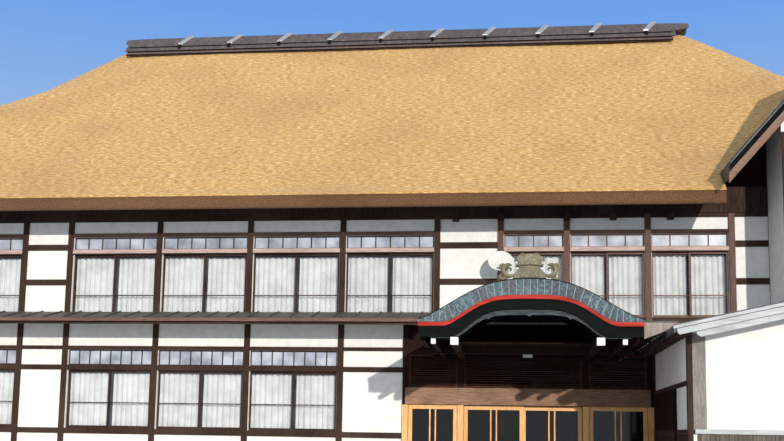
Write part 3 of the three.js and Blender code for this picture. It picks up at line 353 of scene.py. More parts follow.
def timbers(name, spans, finish, body="house", bevel=0.003, lean=None):
    """Many square-cut pieces in one mesh. A span is x0, x1, y0, y1, z0, z1 in metres; each corner is the
    low end plus the unit cube's corner times the size. lean, if given, moves the points afterwards."""
    spans = np.asarray(spans, dtype=float)
    low, size = spans[:, 0::2], spans[:, 1::2] - spans[:, 0::2]
    points = (low[:, None, :] + CUBE[None] * size[:, None, :]).reshape(-1, 3)
    if lean is not None:
        points = lean(points)
    faces = (CUBE_FACES[None] + 8 * np.arange(len(spans))[:, None, None]).reshape(-1, 4)
    piece = put_mesh(name, points, faces, finish, body)
    if bevel:
        soften = piece.modifiers.new("soft_edges", "BEVEL")
        soften.width, soften.segments, soften.limit_method = bevel, 1, "ANGLE"
    return piece


def extrude_outline(name, outline, low, high, finish, bevel=0.0):
    """Carries a closed flat outline of (x, z) points from low to high along Y, with both ends shut."""
    outline = np.asarray(outline, dtype=float)
    count = len(outline)
    rings = [np.column_stack([outline[:, 0], np.full(count, place), outline[:, 1]]) for place in (low, high)]
    mesh = bpy.data.meshes.new(name)
    sides = grid_faces(2, count, wrap=True).tolist()
    mesh.from_pydata(np.concatenate(rings).tolist(), [],
                     sides + [list(range(count))[::-1], list(range(count, 2 * count))])
    mesh.materials.append(finish)
    piece = bpy.data.objects.new(name, mesh)
    bpy.context.scene.collection.objects.link(piece)
    face_outwards(mesh)
    if bevel:
        soften = piece.modifiers.new("soft_edges", "BEVEL")
        soften.width, soften.segments, soften.limit_method = bevel, 2, "ANGLE"
    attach(piece, "house")
    return piece


def face_outwards(mesh):
    """Turns the faces of a closed mesh so that its signed volume is positive."""
    work = bmesh.new()
    work.from_mesh(mesh)
    bmesh.ops.recalc_face_normals(work, faces=work.faces)
    work.to_mesh(mesh)
    work.free()


print("mesh helpers ready")

# %% [markdown]
# The sizes below are the house's own driving sizes in metres. Many other places are worked out from them
# or read from the frame.

# %% Driving sizes
WALL_LEFT, WALL_RIGHT, WALL_DEPTH = -17.1, 10.1, 11.8
EAVE_LEFT, EAVE_RIGHT, EAVE_OUT = -18.5, 11.5, 1.3
EAVE_ARRIS, EAVE_UNDER, ROOF_RISE = 6.26, 5.96, 0.8866
RIDGE_LEFT, RIDGE_RIGHT, RIDGE_HALF = -11.56, 4.53, 0.35
ROOF_RUN = WALL_DEPTH / 2 + EAVE_OUT - RIDGE_HALF
ROOF_PEAK = EAVE_ARRIS + ROOF_RISE * ROOF_RUN
THATCH_DEEP, CORNER_ROUND, END_BULGE = 0.9, 1.6, 0.9
BEAM_TOP = 6.6
FRONT_POSTS = np.array([-17.1, -15.61, -13.51, -11.41, -10.32, -8.22, -6.12, -4.02, -1.93, -0.55, 0.87,
                        2.58, 4.32])
POST_HALF = 0.075
LOWER = dict(sill=1.29, head=2.59, transom=2.70, top=3.05, middle=1.85)
UPPER = dict(sill=3.80, head=5.215, transom=5.325, top=5.615, middle=4.27)
TALL_LEFT, TALL_RIGHT, TALL_FRONT, TALL_EAVE, TALL_RISE, TALL_SIDE_OUT = 5.07, 8.71, -1.2, 6.684, 1.15, 1.11
TALL_MIDDLE = (TALL_LEFT + TALL_RIGHT) / 2
TALL_HALF = TALL_MIDDLE - TALL_LEFT + TALL_SIDE_OUT
TALL_APEX = TALL_EAVE + TALL_HALF * TALL_RISE
LOW_LEFT, LOW_RIGHT, LOW_FACE, LOW_EAVE, LOW_RISE, LOW_OUT = 2.67, 7.63, -4.1005, 3.11, 0.218, 0.3
LOW_MIDDLE = (LOW_LEFT + LOW_RIGHT) / 2
PORCH_HALF, PORCH_TAIL, PORCH_EDGE, PORCH_LIFT = 1.58, 2.0, 3.19, 0.49
PORCH_BOARD, PORCH_STRIP, BEAM_CAP_TOP = 1.99, 0.075, 2.98
DOOR_LEFT, DOOR_RIGHT, DOOR_TOP, LINTEL_TOP = -1.33, 1.18, 1.9, 2.27
print("the roof peaks at", round(ROOF_PEAK, 2), "m")

# %% [markdown]
# ## The thatch
# The roof is one thick skin of straw with rounded hips and a trimmed eave. It could be sculpted, but it
# is simply a ring that climbs inwards: each ring is a rectangle with rounded corners, and a rise goes
# with each step in. The same rings run back down inside, so the skin is closed and really thick.

# %% Rings of the roof
RING_COLUMNS = dict(front=230, corner=16, side=90)
PATTERN_SHIFT = 50


def roof_ring(inset, height, round_to):
    """A rounded rectangle at one inset from the eave. The right end also bulges by 0.9 m times the sine of
    pi times inset over run, and the left end by 0.8 of that. Points go front, right, back, left, with an
    arc between two sides. Each point also gets its place along the eave: X on the front and back halves,
    Y on the end halves. Past the middle of an arc 50 m are added, so that no two sides look alike."""
    bulge = END_BULGE * np.sin(np.pi * max(0.0, inset) / ROOF_RUN)
    left = EAVE_LEFT + inset * (RIDGE_LEFT - EAVE_LEFT) / ROOF_RUN - 0.8 * bulge
    right = EAVE_RIGHT + inset * (RIDGE_RIGHT - EAVE_RIGHT) / ROOF_RUN + bulge
    front, back = -EAVE_OUT + inset, WALL_DEPTH + EAVE_OUT - inset
    r = min(round_to, (back - front) / 2 - 0.02)
    corners = [(right - r, front + r), (right - r, back - r), (left + r, back - r), (left + r, front + r)]
    counts = [RING_COLUMNS["front"], RING_COLUMNS["side"], RING_COLUMNS["front"], RING_COLUMNS["side"]]
    points, along, side_of = [], [], []
    for side in range(4):
        start, end = np.array(corners[side - 1]), np.array(corners[side])
        outward = np.array([(0, -r), (r, 0), (0, r), (-r, 0)][side])
        step = np.linspace(0, 1, counts[side], endpoint=False)[:, None]
        straight = start + outward + (end - start) * step
        turn = np.radians(90 * side - 90) + np.linspace(0, np.pi / 2, RING_COLUMNS["corner"], endpoint=False)
        arc = end + r * np.stack([np.cos(turn), np.sin(turn)], axis=1)
        ring = np.concatenate([straight, arc])
        points.append(ring)
        across = ring[:, 0] if side % 2 == 0 else ring[:, 1]
        next_across = ring[:, 1] if side % 2 == 0 else ring[:, 0]
        half = counts[side] + RING_COLUMNS["corner"] // 2
        keep = np.arange(len(ring)) < half
        along.append(np.where(keep, across, next_across + PATTERN_SHIFT))
        side_of.append(np.where(keep, side, (side + 1) % 4))
    flat = np.concatenate(points)
    ring = np.column_stack([flat, np.full(len(flat), height)])
    return ring, np.concatenate(along), np.concatenate(side_of)


def outer_height(inset):
    """The outer face rises 0.8866 m for each metre in from the eave."""
    return EAVE_ARRIS + ROOF_RISE * inset


def roof_rows():
    """Rows of the closed skin: outer face from the ridge down, cut eave face, underside, inner face up."""
    rows = []
    for inset in np.linspace(ROOF_RUN, 0.05, 78):
        rows.append((inset, outer_height(inset), CORNER_ROUND + 0.9 * inset / ROOF_RUN, 0))
    rows += [(0.012, EAVE_ARRIS - 0.01, CORNER_ROUND, 0), (0.0, EAVE_ARRIS - 0.035, CORNER_ROUND, 0)]
    for drop in np.linspace(0.06, 0.27, 6):
        rows.append((0.01 + drop / 6, EAVE_ARRIS - drop, CORNER_ROUND, 1))
    rows += [(0.075, EAVE_UNDER + 0.008, CORNER_ROUND, 1), (0.10, EAVE_UNDER, CORNER_ROUND, 1)]
    rows += [(0.4, EAVE_UNDER + 0.202, 1.2, 1), (0.75, EAVE_UNDER + 0.438, 0.8, 1), (1.05, BEAM_TOP, 0.3, 1)]
    rows += [(1.75, BEAM_TOP + 0.001, 0.3, 1)]
    for inset in np.linspace(2.0, 6.0, 9):
        rows.append((inset, outer_height(inset) - THATCH_DEEP, 0.5, 1))
    return rows


print("each ring has", 2 * (RING_COLUMNS["front"] + RING_COLUMNS["side"]) + 4 * RING_COLUMNS["corner"],
      "points")

# %% [markdown]
# Straw laid by hand is never even. The unevenness of the slopes only pushes inwards, so that the straw
# doesn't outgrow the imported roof. The tall bay's passage is cut out of the closed skin afterwards.

# %% Lay the straw skin
def uneven(along, down, side):
    """Hand-laid unevenness in metres, always inwards: slow swells, courses 0.42 m apart that step by a
    centimetre, and short lumps, all from sums of sines with fixed wavelengths."""
    swell = 0.012 * (2 + np.sin(along * 0.9 + side * 1.7) + np.sin(along * 0.37 + down * 1.1))
    course = 0.012 * (1 - np.mod(down / 0.42 + 0.06 * np.sin(along * 1.3)
                                 + 0.04 * np.sin(along * 3.1 + 1), 1))
    lumps = 0.005 * (2 + np.sin(along * 7.3 + 2.1 * np.sin(down * 5)) * np.sin(down * 9.1 + along * 0.7)
                     + np.sin(along * 17 + down * 3.3) * np.sin(down * 23 + along * 5))
    return swell + course + lumps


def lay_thatch():
    """Builds the rings, pushes the outer rows inwards by the unevenness and closes both ends."""
    rows = roof_rows()
    rings, sides, downs, lowers = [], [], [], []
    down, last = 0.0, None
    for inset, height, round_to, lower in rows:
        ring, along, side = roof_ring(inset, height, round_to)
        if last is not None:
            down += float(np.hypot(inset - last[0], height - last[1]))
        last = (inset, height)
        if not lower:
            slope = np.hypot(1, ROOF_RISE)
            push = uneven(along, np.full_like(along, down), side) * min(1.0, inset / 0.3)
            ring[:, 2] -= push * slope
        elif EAVE_UNDER < height < EAVE_ARRIS:
            ring[:, 2] += 0.006 * np.sin(along * 31) * np.sin(along * 7 + height * 20)
        rings.append(ring)
        sides.append(side)
        downs.append(np.full_like(along, down))
        lowers.append(lower)
    count, columns = len(rings), len(rings[0])
    points = np.concatenate(rings)
    faces = grid_faces(count, columns, wrap=True)[:, ::-1]
    down = np.concatenate(downs)
    home = np.concatenate(sides)[faces[:, 0]]
    x, y = points[faces, 0], points[faces, 1]
    u = np.where((home % 2 == 0)[:, None], x, y + PATTERN_SHIFT)
    uv = np.stack([u, down[faces]], axis=2).reshape(-1, 2)
    mesh = bpy.data.meshes.new("straw_roof")
    top = list(range(columns))
    under = list(range((count - 1) * columns, count * columns))
    mesh.from_pydata(points.tolist(), [], faces.tolist() + [top, under[::-1]])
    layer = mesh.uv_layers.new(name="straw")
    flat_uv = np.zeros((len(mesh.loops), 2), dtype=np.float32)
    flat_uv[:len(uv)] = uv
    layer.data.foreach_set("uv", flat_uv.ravel())
    for finish in (straw_top, straw_cut_and_shade):
        mesh.materials.append(finish)
    lower_row = np.array(lowers)
    index = np.zeros(len(mesh.polygons), dtype=np.int32)
    index[:len(faces)] = np.repeat(lower_row[1:], columns)
    index[-1] = 1
    mesh.polygons.foreach_set("material_index", index)
    mesh.polygons.foreach_set("use_smooth", np.ones(len(mesh.polygons), dtype=bool))
    roof = bpy.data.objects.new("straw_roof", mesh)
    bpy.context.scene.collection.objects.link(roof)
    return roof


def cut_for_tall_bay(roof):
    """Takes the tall bay's gable-shaped passage out of the straw, where its own roof runs in."""
    low, gap = 0.1, 0.001
    outline = [(TALL_MIDDLE - TALL_HALF, low), (TALL_MIDDLE + TALL_HALF, low),
               (TALL_MIDDLE + TALL_HALF, TALL_EAVE + gap), (TALL_MIDDLE, TALL_APEX + gap),
               (TALL_MIDDLE - TALL_HALF, TALL_EAVE + gap)]
    cutter = extrude_outline("bay_cutter", outline, TALL_FRONT - 2, WALL_DEPTH / 2, straw_cut_and_shade)
    boolean = roof.modifiers.new("bay", "BOOLEAN")
    boolean.operation, boolean.solver, boolean.object = "DIFFERENCE", "MANIFOLD", cutter
    made = bpy.data.meshes.new_from_object(roof.evaluated_get(bpy.context.evaluated_depsgraph_get()))
    roof.modifiers.clear()
    roof.data = made
    bpy.data.objects.remove(cutter)


straw_roof = lay_thatch()
face_outwards(straw_roof.data)
cut_for_tall_bay(straw_roof)
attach(straw_roof, "house")
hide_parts("thatched_roof")
print("straw roof:", len(straw_roof.data.polygons), "faces")

# %% [markdown]
# ## The ridge cap
# A sheet-metal cap keeps rain out of the ridge. It is made in layers: a wide skirt that lies on the straw,
# a second apron and a sloping top, with dark rods in the steps between them that are painted shade under
# each layer's edge. Each layer is one profile carried along the ridge. The ends of the top sheet narrow and
# lift a little, to the pointed ears that the photograph shows.

# %% Ridge cap in layers
RIDGE_MIDDLE = WALL_DEPTH / 2
EAR_REACH, EAR_NARROWING = 0.9, 0.55
SHADE_ROD_SIDES = 10


def ridge_layer(name, profile, finish, ends, lift=0.0):
    """Carries a closed (y, z) profile from one end of the ridge to the other. Over the last 0.9 m of each
    end a layer with lift rises by lift times the square of the way there, and it narrows towards its top
    by 0.55 times the same square."""
    profile = np.asarray(profile, dtype=float)
    near = np.array([0, 0.08, 0.16, 0.25, 0.35, 0.45, 0.6, 0.75, 0.9])
    x = np.concatenate([ends[0] + near, np.linspace(ends[0] + 1.5, ends[1] - 1.5, 21), ends[1] - near[::-1]])
    way = np.clip(1 - np.minimum(x - ends[0], ends[1] - x) / EAR_REACH, 0, 1) ** 2
    narrow = 1 - (EAR_NARROWING if lift else 0.0) * way
    top = profile[:, 1].max()
    rings = [np.column_stack([np.full(len(profile), place), profile[:, 0] * share + RIDGE_MIDDLE,
                              top - (top - profile[:, 1]) * share + lift * up])
             for place, share, up in zip(x, narrow, way)]
    count = len(profile)
    mesh = bpy.data.meshes.new(name)
    sides = grid_faces(len(x), count, wrap=True).tolist()
    mesh.from_pydata(np.concatenate(rings).tolist(), [], sides + [list(range(count)),
                     list(range((len(x) - 1) * count, len(x) * count))])
    mesh.materials.append(finish)
    piece = bpy.data.objects.new(name, mesh)
    bpy.context.scene.collection.objects.link(piece)
    face_outwards(mesh)
    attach(piece, "house")
    return piece


def both_sides(half, under):
    """Mirrors a half profile about the middle and closes it along its underside."""
    half = np.array(half) + [0, ROOF_PEAK]
    under = np.array(under) + [0, ROOF_PEAK]
    return np.concatenate([half, (half * [-1, 1])[::-1], under * [-1, 1], under[::-1]])


LOWER_ENDS = (RIDGE_LEFT + 0.24, RIDGE_RIGHT - 0.52)
skirt_low = -0.42 * ROOF_RISE
ridge_layer("ridge_skirt", both_sides([(-0.79, skirt_low + 0.03), (-0.36, 0.09)],
                                      [(-0.77, skirt_low), (-0.35, 0.0)]), skirt_steel, LOWER_ENDS)
ridge_layer("ridge_apron", both_sides([(-0.69, -0.20), (-0.66, -0.15), (-0.38, 0.15)],
                                      [(-0.66, -0.21), (-0.36, 0.06)]), ridge_steel,
            (LOWER_ENDS[0] - 0.08, LOWER_ENDS[1] + 0.1))
top_sheet = ridge_layer("ridge_top_sheet",
                        both_sides([(-0.57, -0.03), (-0.55, 0.03), (-0.35, 0.28), (-0.24, 0.345)],
                                   [(-0.54, -0.04), (-0.3, 0.16)]), ridge_steel,
                        (RIDGE_LEFT, RIDGE_RIGHT), lift=0.03)
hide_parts("ridge_cap")


def ridge_painted_shade_rods():
    """Painted shade under the edges of the layers: dark ten-sided rods in the steps between them, along
    both sides.
    """
    turn = np.linspace(0, 2 * np.pi, SHADE_ROD_SIDES, endpoint=False)
    rings, faces, start = [], [], 0
    for y, z, radius in ((0.565, ROOF_PEAK - 0.05, 0.022), (0.69, ROOF_PEAK - 0.222, 0.02),
                         (0.79, ROOF_PEAK - 0.35, 0.016)):
        for side in (-1, 1):
            for x in LOWER_ENDS:
                rings.append(np.column_stack([np.full(SHADE_ROD_SIDES, x),
                                              RIDGE_MIDDLE + side * y + radius * np.cos(turn),
                                              z + radius * np.sin(turn)]))
            faces.append(grid_faces(2, SHADE_ROD_SIDES, wrap=True) + start)
            start += 2 * SHADE_ROD_SIDES
    piece = put_mesh("ridge_painted_shade_rods", np.concatenate(rings), np.concatenate(faces), black_paint, smooth=True)
    close_ends(piece.data)


def close_ends(mesh):
    """Merges doubles, fills open ring ends and turns every face outwards."""
    work = bmesh.new()
    work.from_mesh(mesh)
    bmesh.ops.remove_doubles(work, verts=work.verts, dist=1e-5)
    bmesh.ops.holes_fill(work, edges=[edge for edge in work.edges if edge.is_boundary], sides=0)
    bmesh.ops.recalc_face_normals(work, faces=work.faces)
    work.to_mesh(mesh)
    work.free()


ridge_painted_shade_rods()

# %% [markdown]
# Metal clips hold the cap down, a pair about every metre and a half. They are made as level blocks and
# one function leans them all to the cap's slope, which is simpler than turning each of them.

# %% Clips across the ridge
CLIP_STEP, CLIP_FALL, CLIP_SLANT = 1.46, 1.2, 0.9
clip_places = np.arange(RIDGE_LEFT + 1.9, RIDGE_RIGHT - 0.3, CLIP_STEP)


def clip_lean(points):
    """Leans each clip to the slope of the cap on both sides of the ridge: for each metre further out it
    falls 1.2 m and moves 0.9 m to the left along the ridge."""
    y = points[:, 1]
    points[:, 2] -= CLIP_FALL * (np.abs(y) - 0.3)
    points[:, 0] -= CLIP_SLANT * (np.abs(y) - 0.4)
    points[:, 1] = y + RIDGE_MIDDLE
    return points


def both_slopes(near, far):
    """For each clip's place, the level limits of a block from near to far on the front and back slopes."""
    return [(x, *sorted((side * near, side * far))) for x in clip_places for side in (-1, 1)]


clip_spans = [(x - 0.07, x + 0.07, y0, y1, ROOF_PEAK + 0.335, ROOF_PEAK + 0.375)
              for x, y0, y1 in both_slopes(0.3, 0.57)]
clips = timbers("ridge_clips", clip_spans, clip_steel, lean=clip_lean)
feet_spans = [(x - 0.19, x - 0.11, y0, y1, ROOF_PEAK - 0.24, ROOF_PEAK - 0.03)
              for x, y0, y1 in both_slopes(0.56, 0.66)]
feet = timbers("ridge_clip_feet", feet_spans, black_paint, lean=lambda points: points + [0, RIDGE_MIDDLE, 0])
print("ridge cap:", len(clip_places), "pairs of clips")

# %% [markdown]
# ## Windows
# Each bay between two posts holds two sliding sashes, one behind the other, with a thin bar near the
# bottom, and a row of small fixed panes above them. The bars are cut from straight stock, so one list
# of spans describes a whole wall, and the wall's own turn places it on any side of the house.

# %% Sashes and transom bars for every wall
SASH_STILE, SASH_BAR, SASH_DEEP = 0.038, 0.022, 0.028
FRONT_SASH, REAR_SASH, TRANSOM_BAR_HALF = 0.062, 0.1, 0.0125
END_WALL_INSET = 0.15025


def bay_edges(left, right):
    """The clear opening between two posts, from face to face."""
    return left + POST_HALF, right - POST_HALF


def sash_spans(u0, u1, storey, deep):
    """One sash: two stiles, a top rail, a bottom rail and a bar, as u, w and z limits."""
    w0, w1 = deep, deep + SASH_DEEP
    z0, z1, middle = storey["sill"], storey["head"], storey["middle"]
    return [(u0, u0 + SASH_STILE, w0, w1, z0, z1), (u1 - SASH_STILE, u1, w0, w1, z0, z1),
            (u0 + SASH_STILE, u1 - SASH_STILE, w0, w1, z1 - 0.045, z1),
            (u0 + SASH_STILE, u1 - SASH_STILE, w0, w1, z0, z0 + 0.06),
            (u0 + SASH_STILE, u1 - SASH_STILE, w0 + 0.004, w1 - 0.004, middle, middle + SASH_BAR)]


def transom_spans(u0, u1, storey, panes):
    """The row of small panes: a thin frame and the upright bars between panes."""
    z0, z1 = storey["transom"], storey["top"]
    w0, w1 = 0.075, 0.105
    spans = [(u0, u1, w0, w1, z0, z0 + 0.025), (u0, u1, w0, w1, z1 - 0.03, z1)]
    for bar in np.linspace(u0, u1, panes + 1):
        centre = np.clip(bar, u0 + TRANSOM_BAR_HALF, u1 - TRANSOM_BAR_HALF)
        spans.append((centre - TRANSOM_BAR_HALF, centre + TRANSOM_BAR_HALF, w0, w1, z0 + 0.025, z1 - 0.03))
    return spans


def bay_spans(left, right, storey, panes):
    """Two sashes that lap by 4 cm at the middle, and the transom over them."""
    u0, u1 = bay_edges(left, right)
    middle = (u0 + u1) / 2
    return (sash_spans(u0, middle + 0.02, storey, REAR_SASH)
            + sash_spans(middle - 0.02, u1, storey, FRONT_SASH) + transom_spans(u0, u1, storey, panes))


def side_posts(length):
    """Post places of a plain wall: bays of about 1.97 m, rounded to whole millimetres."""
    bays = round(length / 1.97)
    return np.round(np.arange(bays + 1) * length / bays, 3)


def wall_place(wall):
    """The turn of a wall: a function from its own u, w, z to the house's x, y, z."""
    return {"front": lambda p: p,
            "back": lambda p: np.column_stack([WALL_RIGHT - p[:, 0], WALL_DEPTH - p[:, 1], p[:, 2]]),
            "left": lambda p: np.column_stack([WALL_LEFT + p[:, 1], WALL_DEPTH - END_WALL_INSET - p[:, 0],
                                               p[:, 2]]),
            "right": lambda p: np.column_stack([WALL_RIGHT - p[:, 1], END_WALL_INSET + p[:, 0], p[:, 2]])}[wall]


def wall_bays(wall):
    """Left post, right post and storey of each window bay of a wall."""
    if wall == "front":
        upper = [(FRONT_POSTS[i], FRONT_POSTS[i + 1], UPPER) for i in (1, 2, 4, 5, 6, 7, 9, 10, 11)]
        lower = [(FRONT_POSTS[i], FRONT_POSTS[i + 1], LOWER) for i in (1, 2, 4, 5, 6)]
        return upper + lower
    length = WALL_RIGHT - WALL_LEFT if wall == "back" else WALL_DEPTH - 2 * END_WALL_INSET
    posts = side_posts(length)
    return [(posts[i], posts[i + 1], storey) for i in range(1, len(posts) - 2, 2)
            for storey in (UPPER, LOWER)]


def pane_count(left, right, storey):
    """Upper panes come out 0.3 to 0.4 m wide, lower ones about 0.25 m."""
    if storey is LOWER:
        return max(4, round((right - left) / 0.27))
    return 4 if right - left < 1.8 else 6


def add_sashes(name, bays, wall, finish):
    """All the sashes and transom bars of some bays in one mesh, and their small frosted panes in another."""
    spans = [span for bay in bays for span in bay_spans(*bay, pane_count(*bay))]
    sashes = timbers(f"{name}_sashes", spans, finish, bevel=0.002, lean=wall_place(wall))
    face_outwards(sashes.data)
    panes = [(*bay_edges(left, right), 0.088, 0.094, storey["transom"] + 0.01, storey["top"] - 0.01)
             for left, right, storey in bays]
    frosted = timbers(f"{name}_transom_panes", panes, figured_glass, bevel=0, lean=wall_place(wall))
    face_outwards(frosted.data)
    print(name, "sashes:", len(spans), "bars")


front_bays = wall_bays("front")
add_sashes("front_left", [bay for bay in front_bays if bay[0] < -0.6], "front", dark_cedar)
add_sashes("front_right", [bay for bay in front_bays if bay[0] > -0.6], "front", rail_cedar)
for wall in ("back", "left", "right"):
    add_sashes(wall, wall_bays(wall), wall, dark_cedar)

# %% [markdown]
# The long rail over the upper windows is a pale board whose tones are painted sunlight, and the posts
# beside the porch keep a red stain. Both are made as thin boards on the face of the frame, which keeps the
# frame itself whole.

# %% Face boards of the front
rail_boards = [(left + 0.066, right - 0.066, -0.012, -0.0005, 5.235, 5.327)
               for left, right, storey in front_bays if storey is UPPER]
rails = timbers("upper_rail_boards", rail_boards, cedar_painted_sunlit, bevel=0.003)
post_boards = [(x - 0.064, x + 0.064, -0.01, -0.0005, 3.70, 6.04) for x in FRONT_POSTS[9:]]
post_faces = timbers("red_post_boards", post_boards, red_cedar, bevel=0.003)
print("face boards:", len(rail_boards), "rails,", len(post_boards), "posts")

# %% [markdown]
# The tall bay's front has two windows of the same make, set in its own wall further forward.

# %% Sashes of the tall bay
tall_spans = []
for left, right in ((TALL_MIDDLE - 1.3, TALL_MIDDLE - 0.06), (TALL_MIDDLE + 0.06, TALL_MIDDLE + 1.3)):
    tall_spans += bay_spans(left - POST_HALF, right + POST_HALF, UPPER, 4)
    tall_spans.append((left, right, 0.03, 0.11, UPPER["head"], UPPER["transom"]))


def tall_wall_place(points):
    """Moves spans from the main wall's plane to the tall bay's front wall."""
    points[:, 1] += TALL_FRONT - 0.03
    return points


tall_sashes = timbers("tall_bay_sashes", tall_spans, dark_cedar, bevel=0.002, lean=tall_wall_place)

# %% [markdown]
# ## Curtains
# Cotton lace hangs behind the panes, gathered on a rod. A sewn curtain of that kind falls in soft folds
# that open a little towards the hem. Each one is a single sheet, a wave whose depth grows downwards.

# %% Curtains
FOLD_DEEP, FOLD_WIDE, CURTAIN_DEPTH = 0.026, 0.13, 0.215


def curtain(name, u0, u1, top, bottom, seed, place):
    """A gathered sheet. Across it the depth is a sine with one fold for each 0.13 m plus a slower sine,
    times 0.6 at the rod and 1 at the hem. Its flat width is the length of the wavy line at mid height,
    and its flat drop is its area over that width."""
    columns, rows = 97, 13
    t = np.linspace(0, 1, columns)
    folds = max(3, round((u1 - u0) / FOLD_WIDE))
    wave = np.sin(2 * np.pi * folds * t + 0.9 * np.sin(2 * np.pi * 1.5 * t + seed)) + 0.35 * np.sin(
        2 * np.pi * 2.3 * t + seed * 2.1)
    down = np.linspace(0, 1, rows)[:, None]
    u = u0 + (u1 - u0) * t[None, :] + 0.006 * down * np.sin(2 * np.pi * folds * t + seed)[None, :]
    w = CURTAIN_DEPTH + FOLD_DEEP * (0.6 + 0.4 * down) * wave[None, :]
    scallop = 0.018 * (1 - np.cos(2 * np.pi * folds * t)) / 2
    z = (top - scallop)[None, :] * (1 - down) + bottom * down
    z = np.broadcast_to(z, u.shape)
    points = place(np.stack([u, w, z], axis=2).reshape(-1, 3))
    piece = put_mesh(name, points, grid_faces(rows, columns), lace_cloth, smooth=True)
    grid = points.reshape(rows, columns, 3)
    width = float(np.linalg.norm(np.diff(grid[rows // 2], axis=0), axis=1).sum())
    edges_u = np.diff(grid, axis=1)[:-1]
    edges_v = np.diff(grid, axis=0)[:, :-1]
    area = float(np.linalg.norm(np.cross(edges_u, edges_v), axis=2).sum())
    length = area / width
    return width, length


def hang_curtains(wall, storey_name, storey):
    """Puts a rod and two curtains into each window bay of one storey of a wall."""
    place = wall_place(wall)
    bays = [(left, right) for left, right, level in wall_bays(wall) if level is storey]
    top = storey["head"] - 0.06
    rods = [(left + 0.02, right - 0.02, 0.205, 0.225, top - 0.004, top + 0.012) for left, right in bays]
    rod_name = f"{wall}_{storey_name}_curtain_rods"
    rod = timbers(rod_name, rods, clip_steel, bevel=0.003, lean=place)
    face_outwards(rod.data)
    for number, (left, right) in enumerate(bays):
        middle = (left + right) / 2
        for half, (u0, u1) in enumerate(((left + 0.09, middle - 0.05), (middle + 0.05, right - 0.09))):
            size = curtain(f"{wall}_{storey_name}_curtain_{2 * number + half + 1}", u0, u1, top - 0.006,
                           storey["sill"] + 0.03, number * 1.3 + half * 0.7, place)
    print(wall, storey_name, "curtains:", 2 * len(bays), "of about", round(size[0], 2), "by",
          round(size[1], 2), "m")


for wall in ("front", "back", "left", "right"):
    hang_curtains(wall, "upper", UPPER)
    hang_curtains(wall, "lower", LOWER)

# %% [markdown]
# ## The curved porch
# The porch gable is one flat-topped wave: level at both ends, with steep shoulders and half a metre of
# lift in the middle. Every board and strip of it is such a wave, so a few functions of X draw them all.

# %% Porch wave and its bands
PORCH_TOP_LOW, PORCH_TOP_LIFT = 3.28, 0.77


def wave(x, reach, power):
    """One in the middle and zero from its reach outwards: half of one plus the cosine of pi times the
    share of the way out, raised to a power that flattens the top."""
    return 0.5 + 0.5 * np.cos(np.pi * np.minimum(1, np.abs(x) / reach) ** power)


def porch_line(x):
    """Lower edge of the red strip: 3.19 m at the ends, 0.49 m more in the middle."""
    return PORCH_EDGE + PORCH_LIFT * wave(x, PORCH_HALF, 1.85)


def porch_top(x):
    """The roof's upper face: 3.28 m plus 0.77 m times a wave with a reach of 2.25 m. At the roof's own
    ends, 2 m out, that makes 3.32 m."""
    return PORCH_TOP_LOW + PORCH_TOP_LIFT * wave(x, 2.25, 1.32)


def board_low(x):
    """Lower edge of the black board: 3 m at the ends, half a metre more in the middle."""
    return 3.0 + 0.5 * wave(x, 1.42, 2.1)


def porch_band(name, half, low, high, y0, y1, finish, columns=97, bevel=0.0):
    """The strip between two waves, from y0 to y1, as one closed body."""
    x = np.linspace(-half, half, columns)
    outline = np.concatenate([np.column_stack([x, low(x)]), np.column_stack([x, high(x)])[::-1]])
    piece = extrude_outline(name, outline, y0, y1, finish, bevel=bevel)
    return piece


red_strip = porch_band("porch_red_moulding", PORCH_TAIL, porch_line,
                       lambda x: porch_line(x) + PORCH_STRIP - 0.001, -3.695, -3.58, red_paint,
                       bevel=0.006)
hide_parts("porch_red_strip")
# A black strip just under the red moulding is painted shadow, the shade the moulding throws on the gable board.
porch_band("porch_strip_painted_shadow", PORCH_BOARD, lambda x: porch_line(x) - 0.02,
           lambda x: porch_line(x) - 0.001, -3.688, -3.6, black_paint)
black_board = porch_band("porch_black_board", PORCH_BOARD, board_low, lambda x: porch_line(x) - 0.021,
                         -3.678, -3.622, black_paint, bevel=0.004)
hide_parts("porch_bargeboard")


def cusp(x):
    """Lower edge of the inner board: small points that hang at the middle and 0.72 m out."""
    reach = np.minimum(np.abs(x), np.abs(np.abs(x) - 0.72))
    return 0.03 * np.exp(-(reach / 0.03) ** 2)


def inner_low(x):
    """2.98 m at the ends, 0.42 m more in the middle with a broad flat top, less the cusps."""
    return np.maximum(BEAM_CAP_TOP + 0.42 * wave(x, 1.38, 2.3) - cusp(x), BEAM_CAP_TOP + 0.0005)


inner_board = porch_band("porch_cusped_board", 1.78, inner_low, lambda x: board_low(x) + 0.05, -3.62, -3.56,
                         grey_board, columns=321, bevel=0.003)
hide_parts("porch_inner_board")
print("porch boards follow one wave, from", PORCH_EDGE, "to", PORCH_EDGE + PORCH_LIFT, "m")

# %% [markdown]
# The porch roof is clad in small copper sheets folded over each other. The gable face shows them as a
# row of slanted plates. Here the roof is a smooth wave, and each plate is a thin tile with its own
# small tilt, so that light catches the seams.

# %% Copper roof and its plates
copper_roof = porch_band("porch_copper_roof", PORCH_TAIL, lambda x: porch_line(x) + PORCH_STRIP,
                         lambda x: porch_top(x) - 0.014, -3.688, -0.06, roof_copper, columns=121)
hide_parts("porch_roof")


def wave_frame(x, height):
    """The point of a wave at x, its unit direction along the wave and its unit direction outwards."""
    step = 1e-3
    rise = (height(x + step) - height(x - step)) / (2 * step)
    along = np.column_stack([np.ones_like(x), rise]) / np.hypot(1, rise)[:, None]
    return np.column_stack([x, height(x)]), along, np.column_stack([-along[:, 1], along[:, 0]])


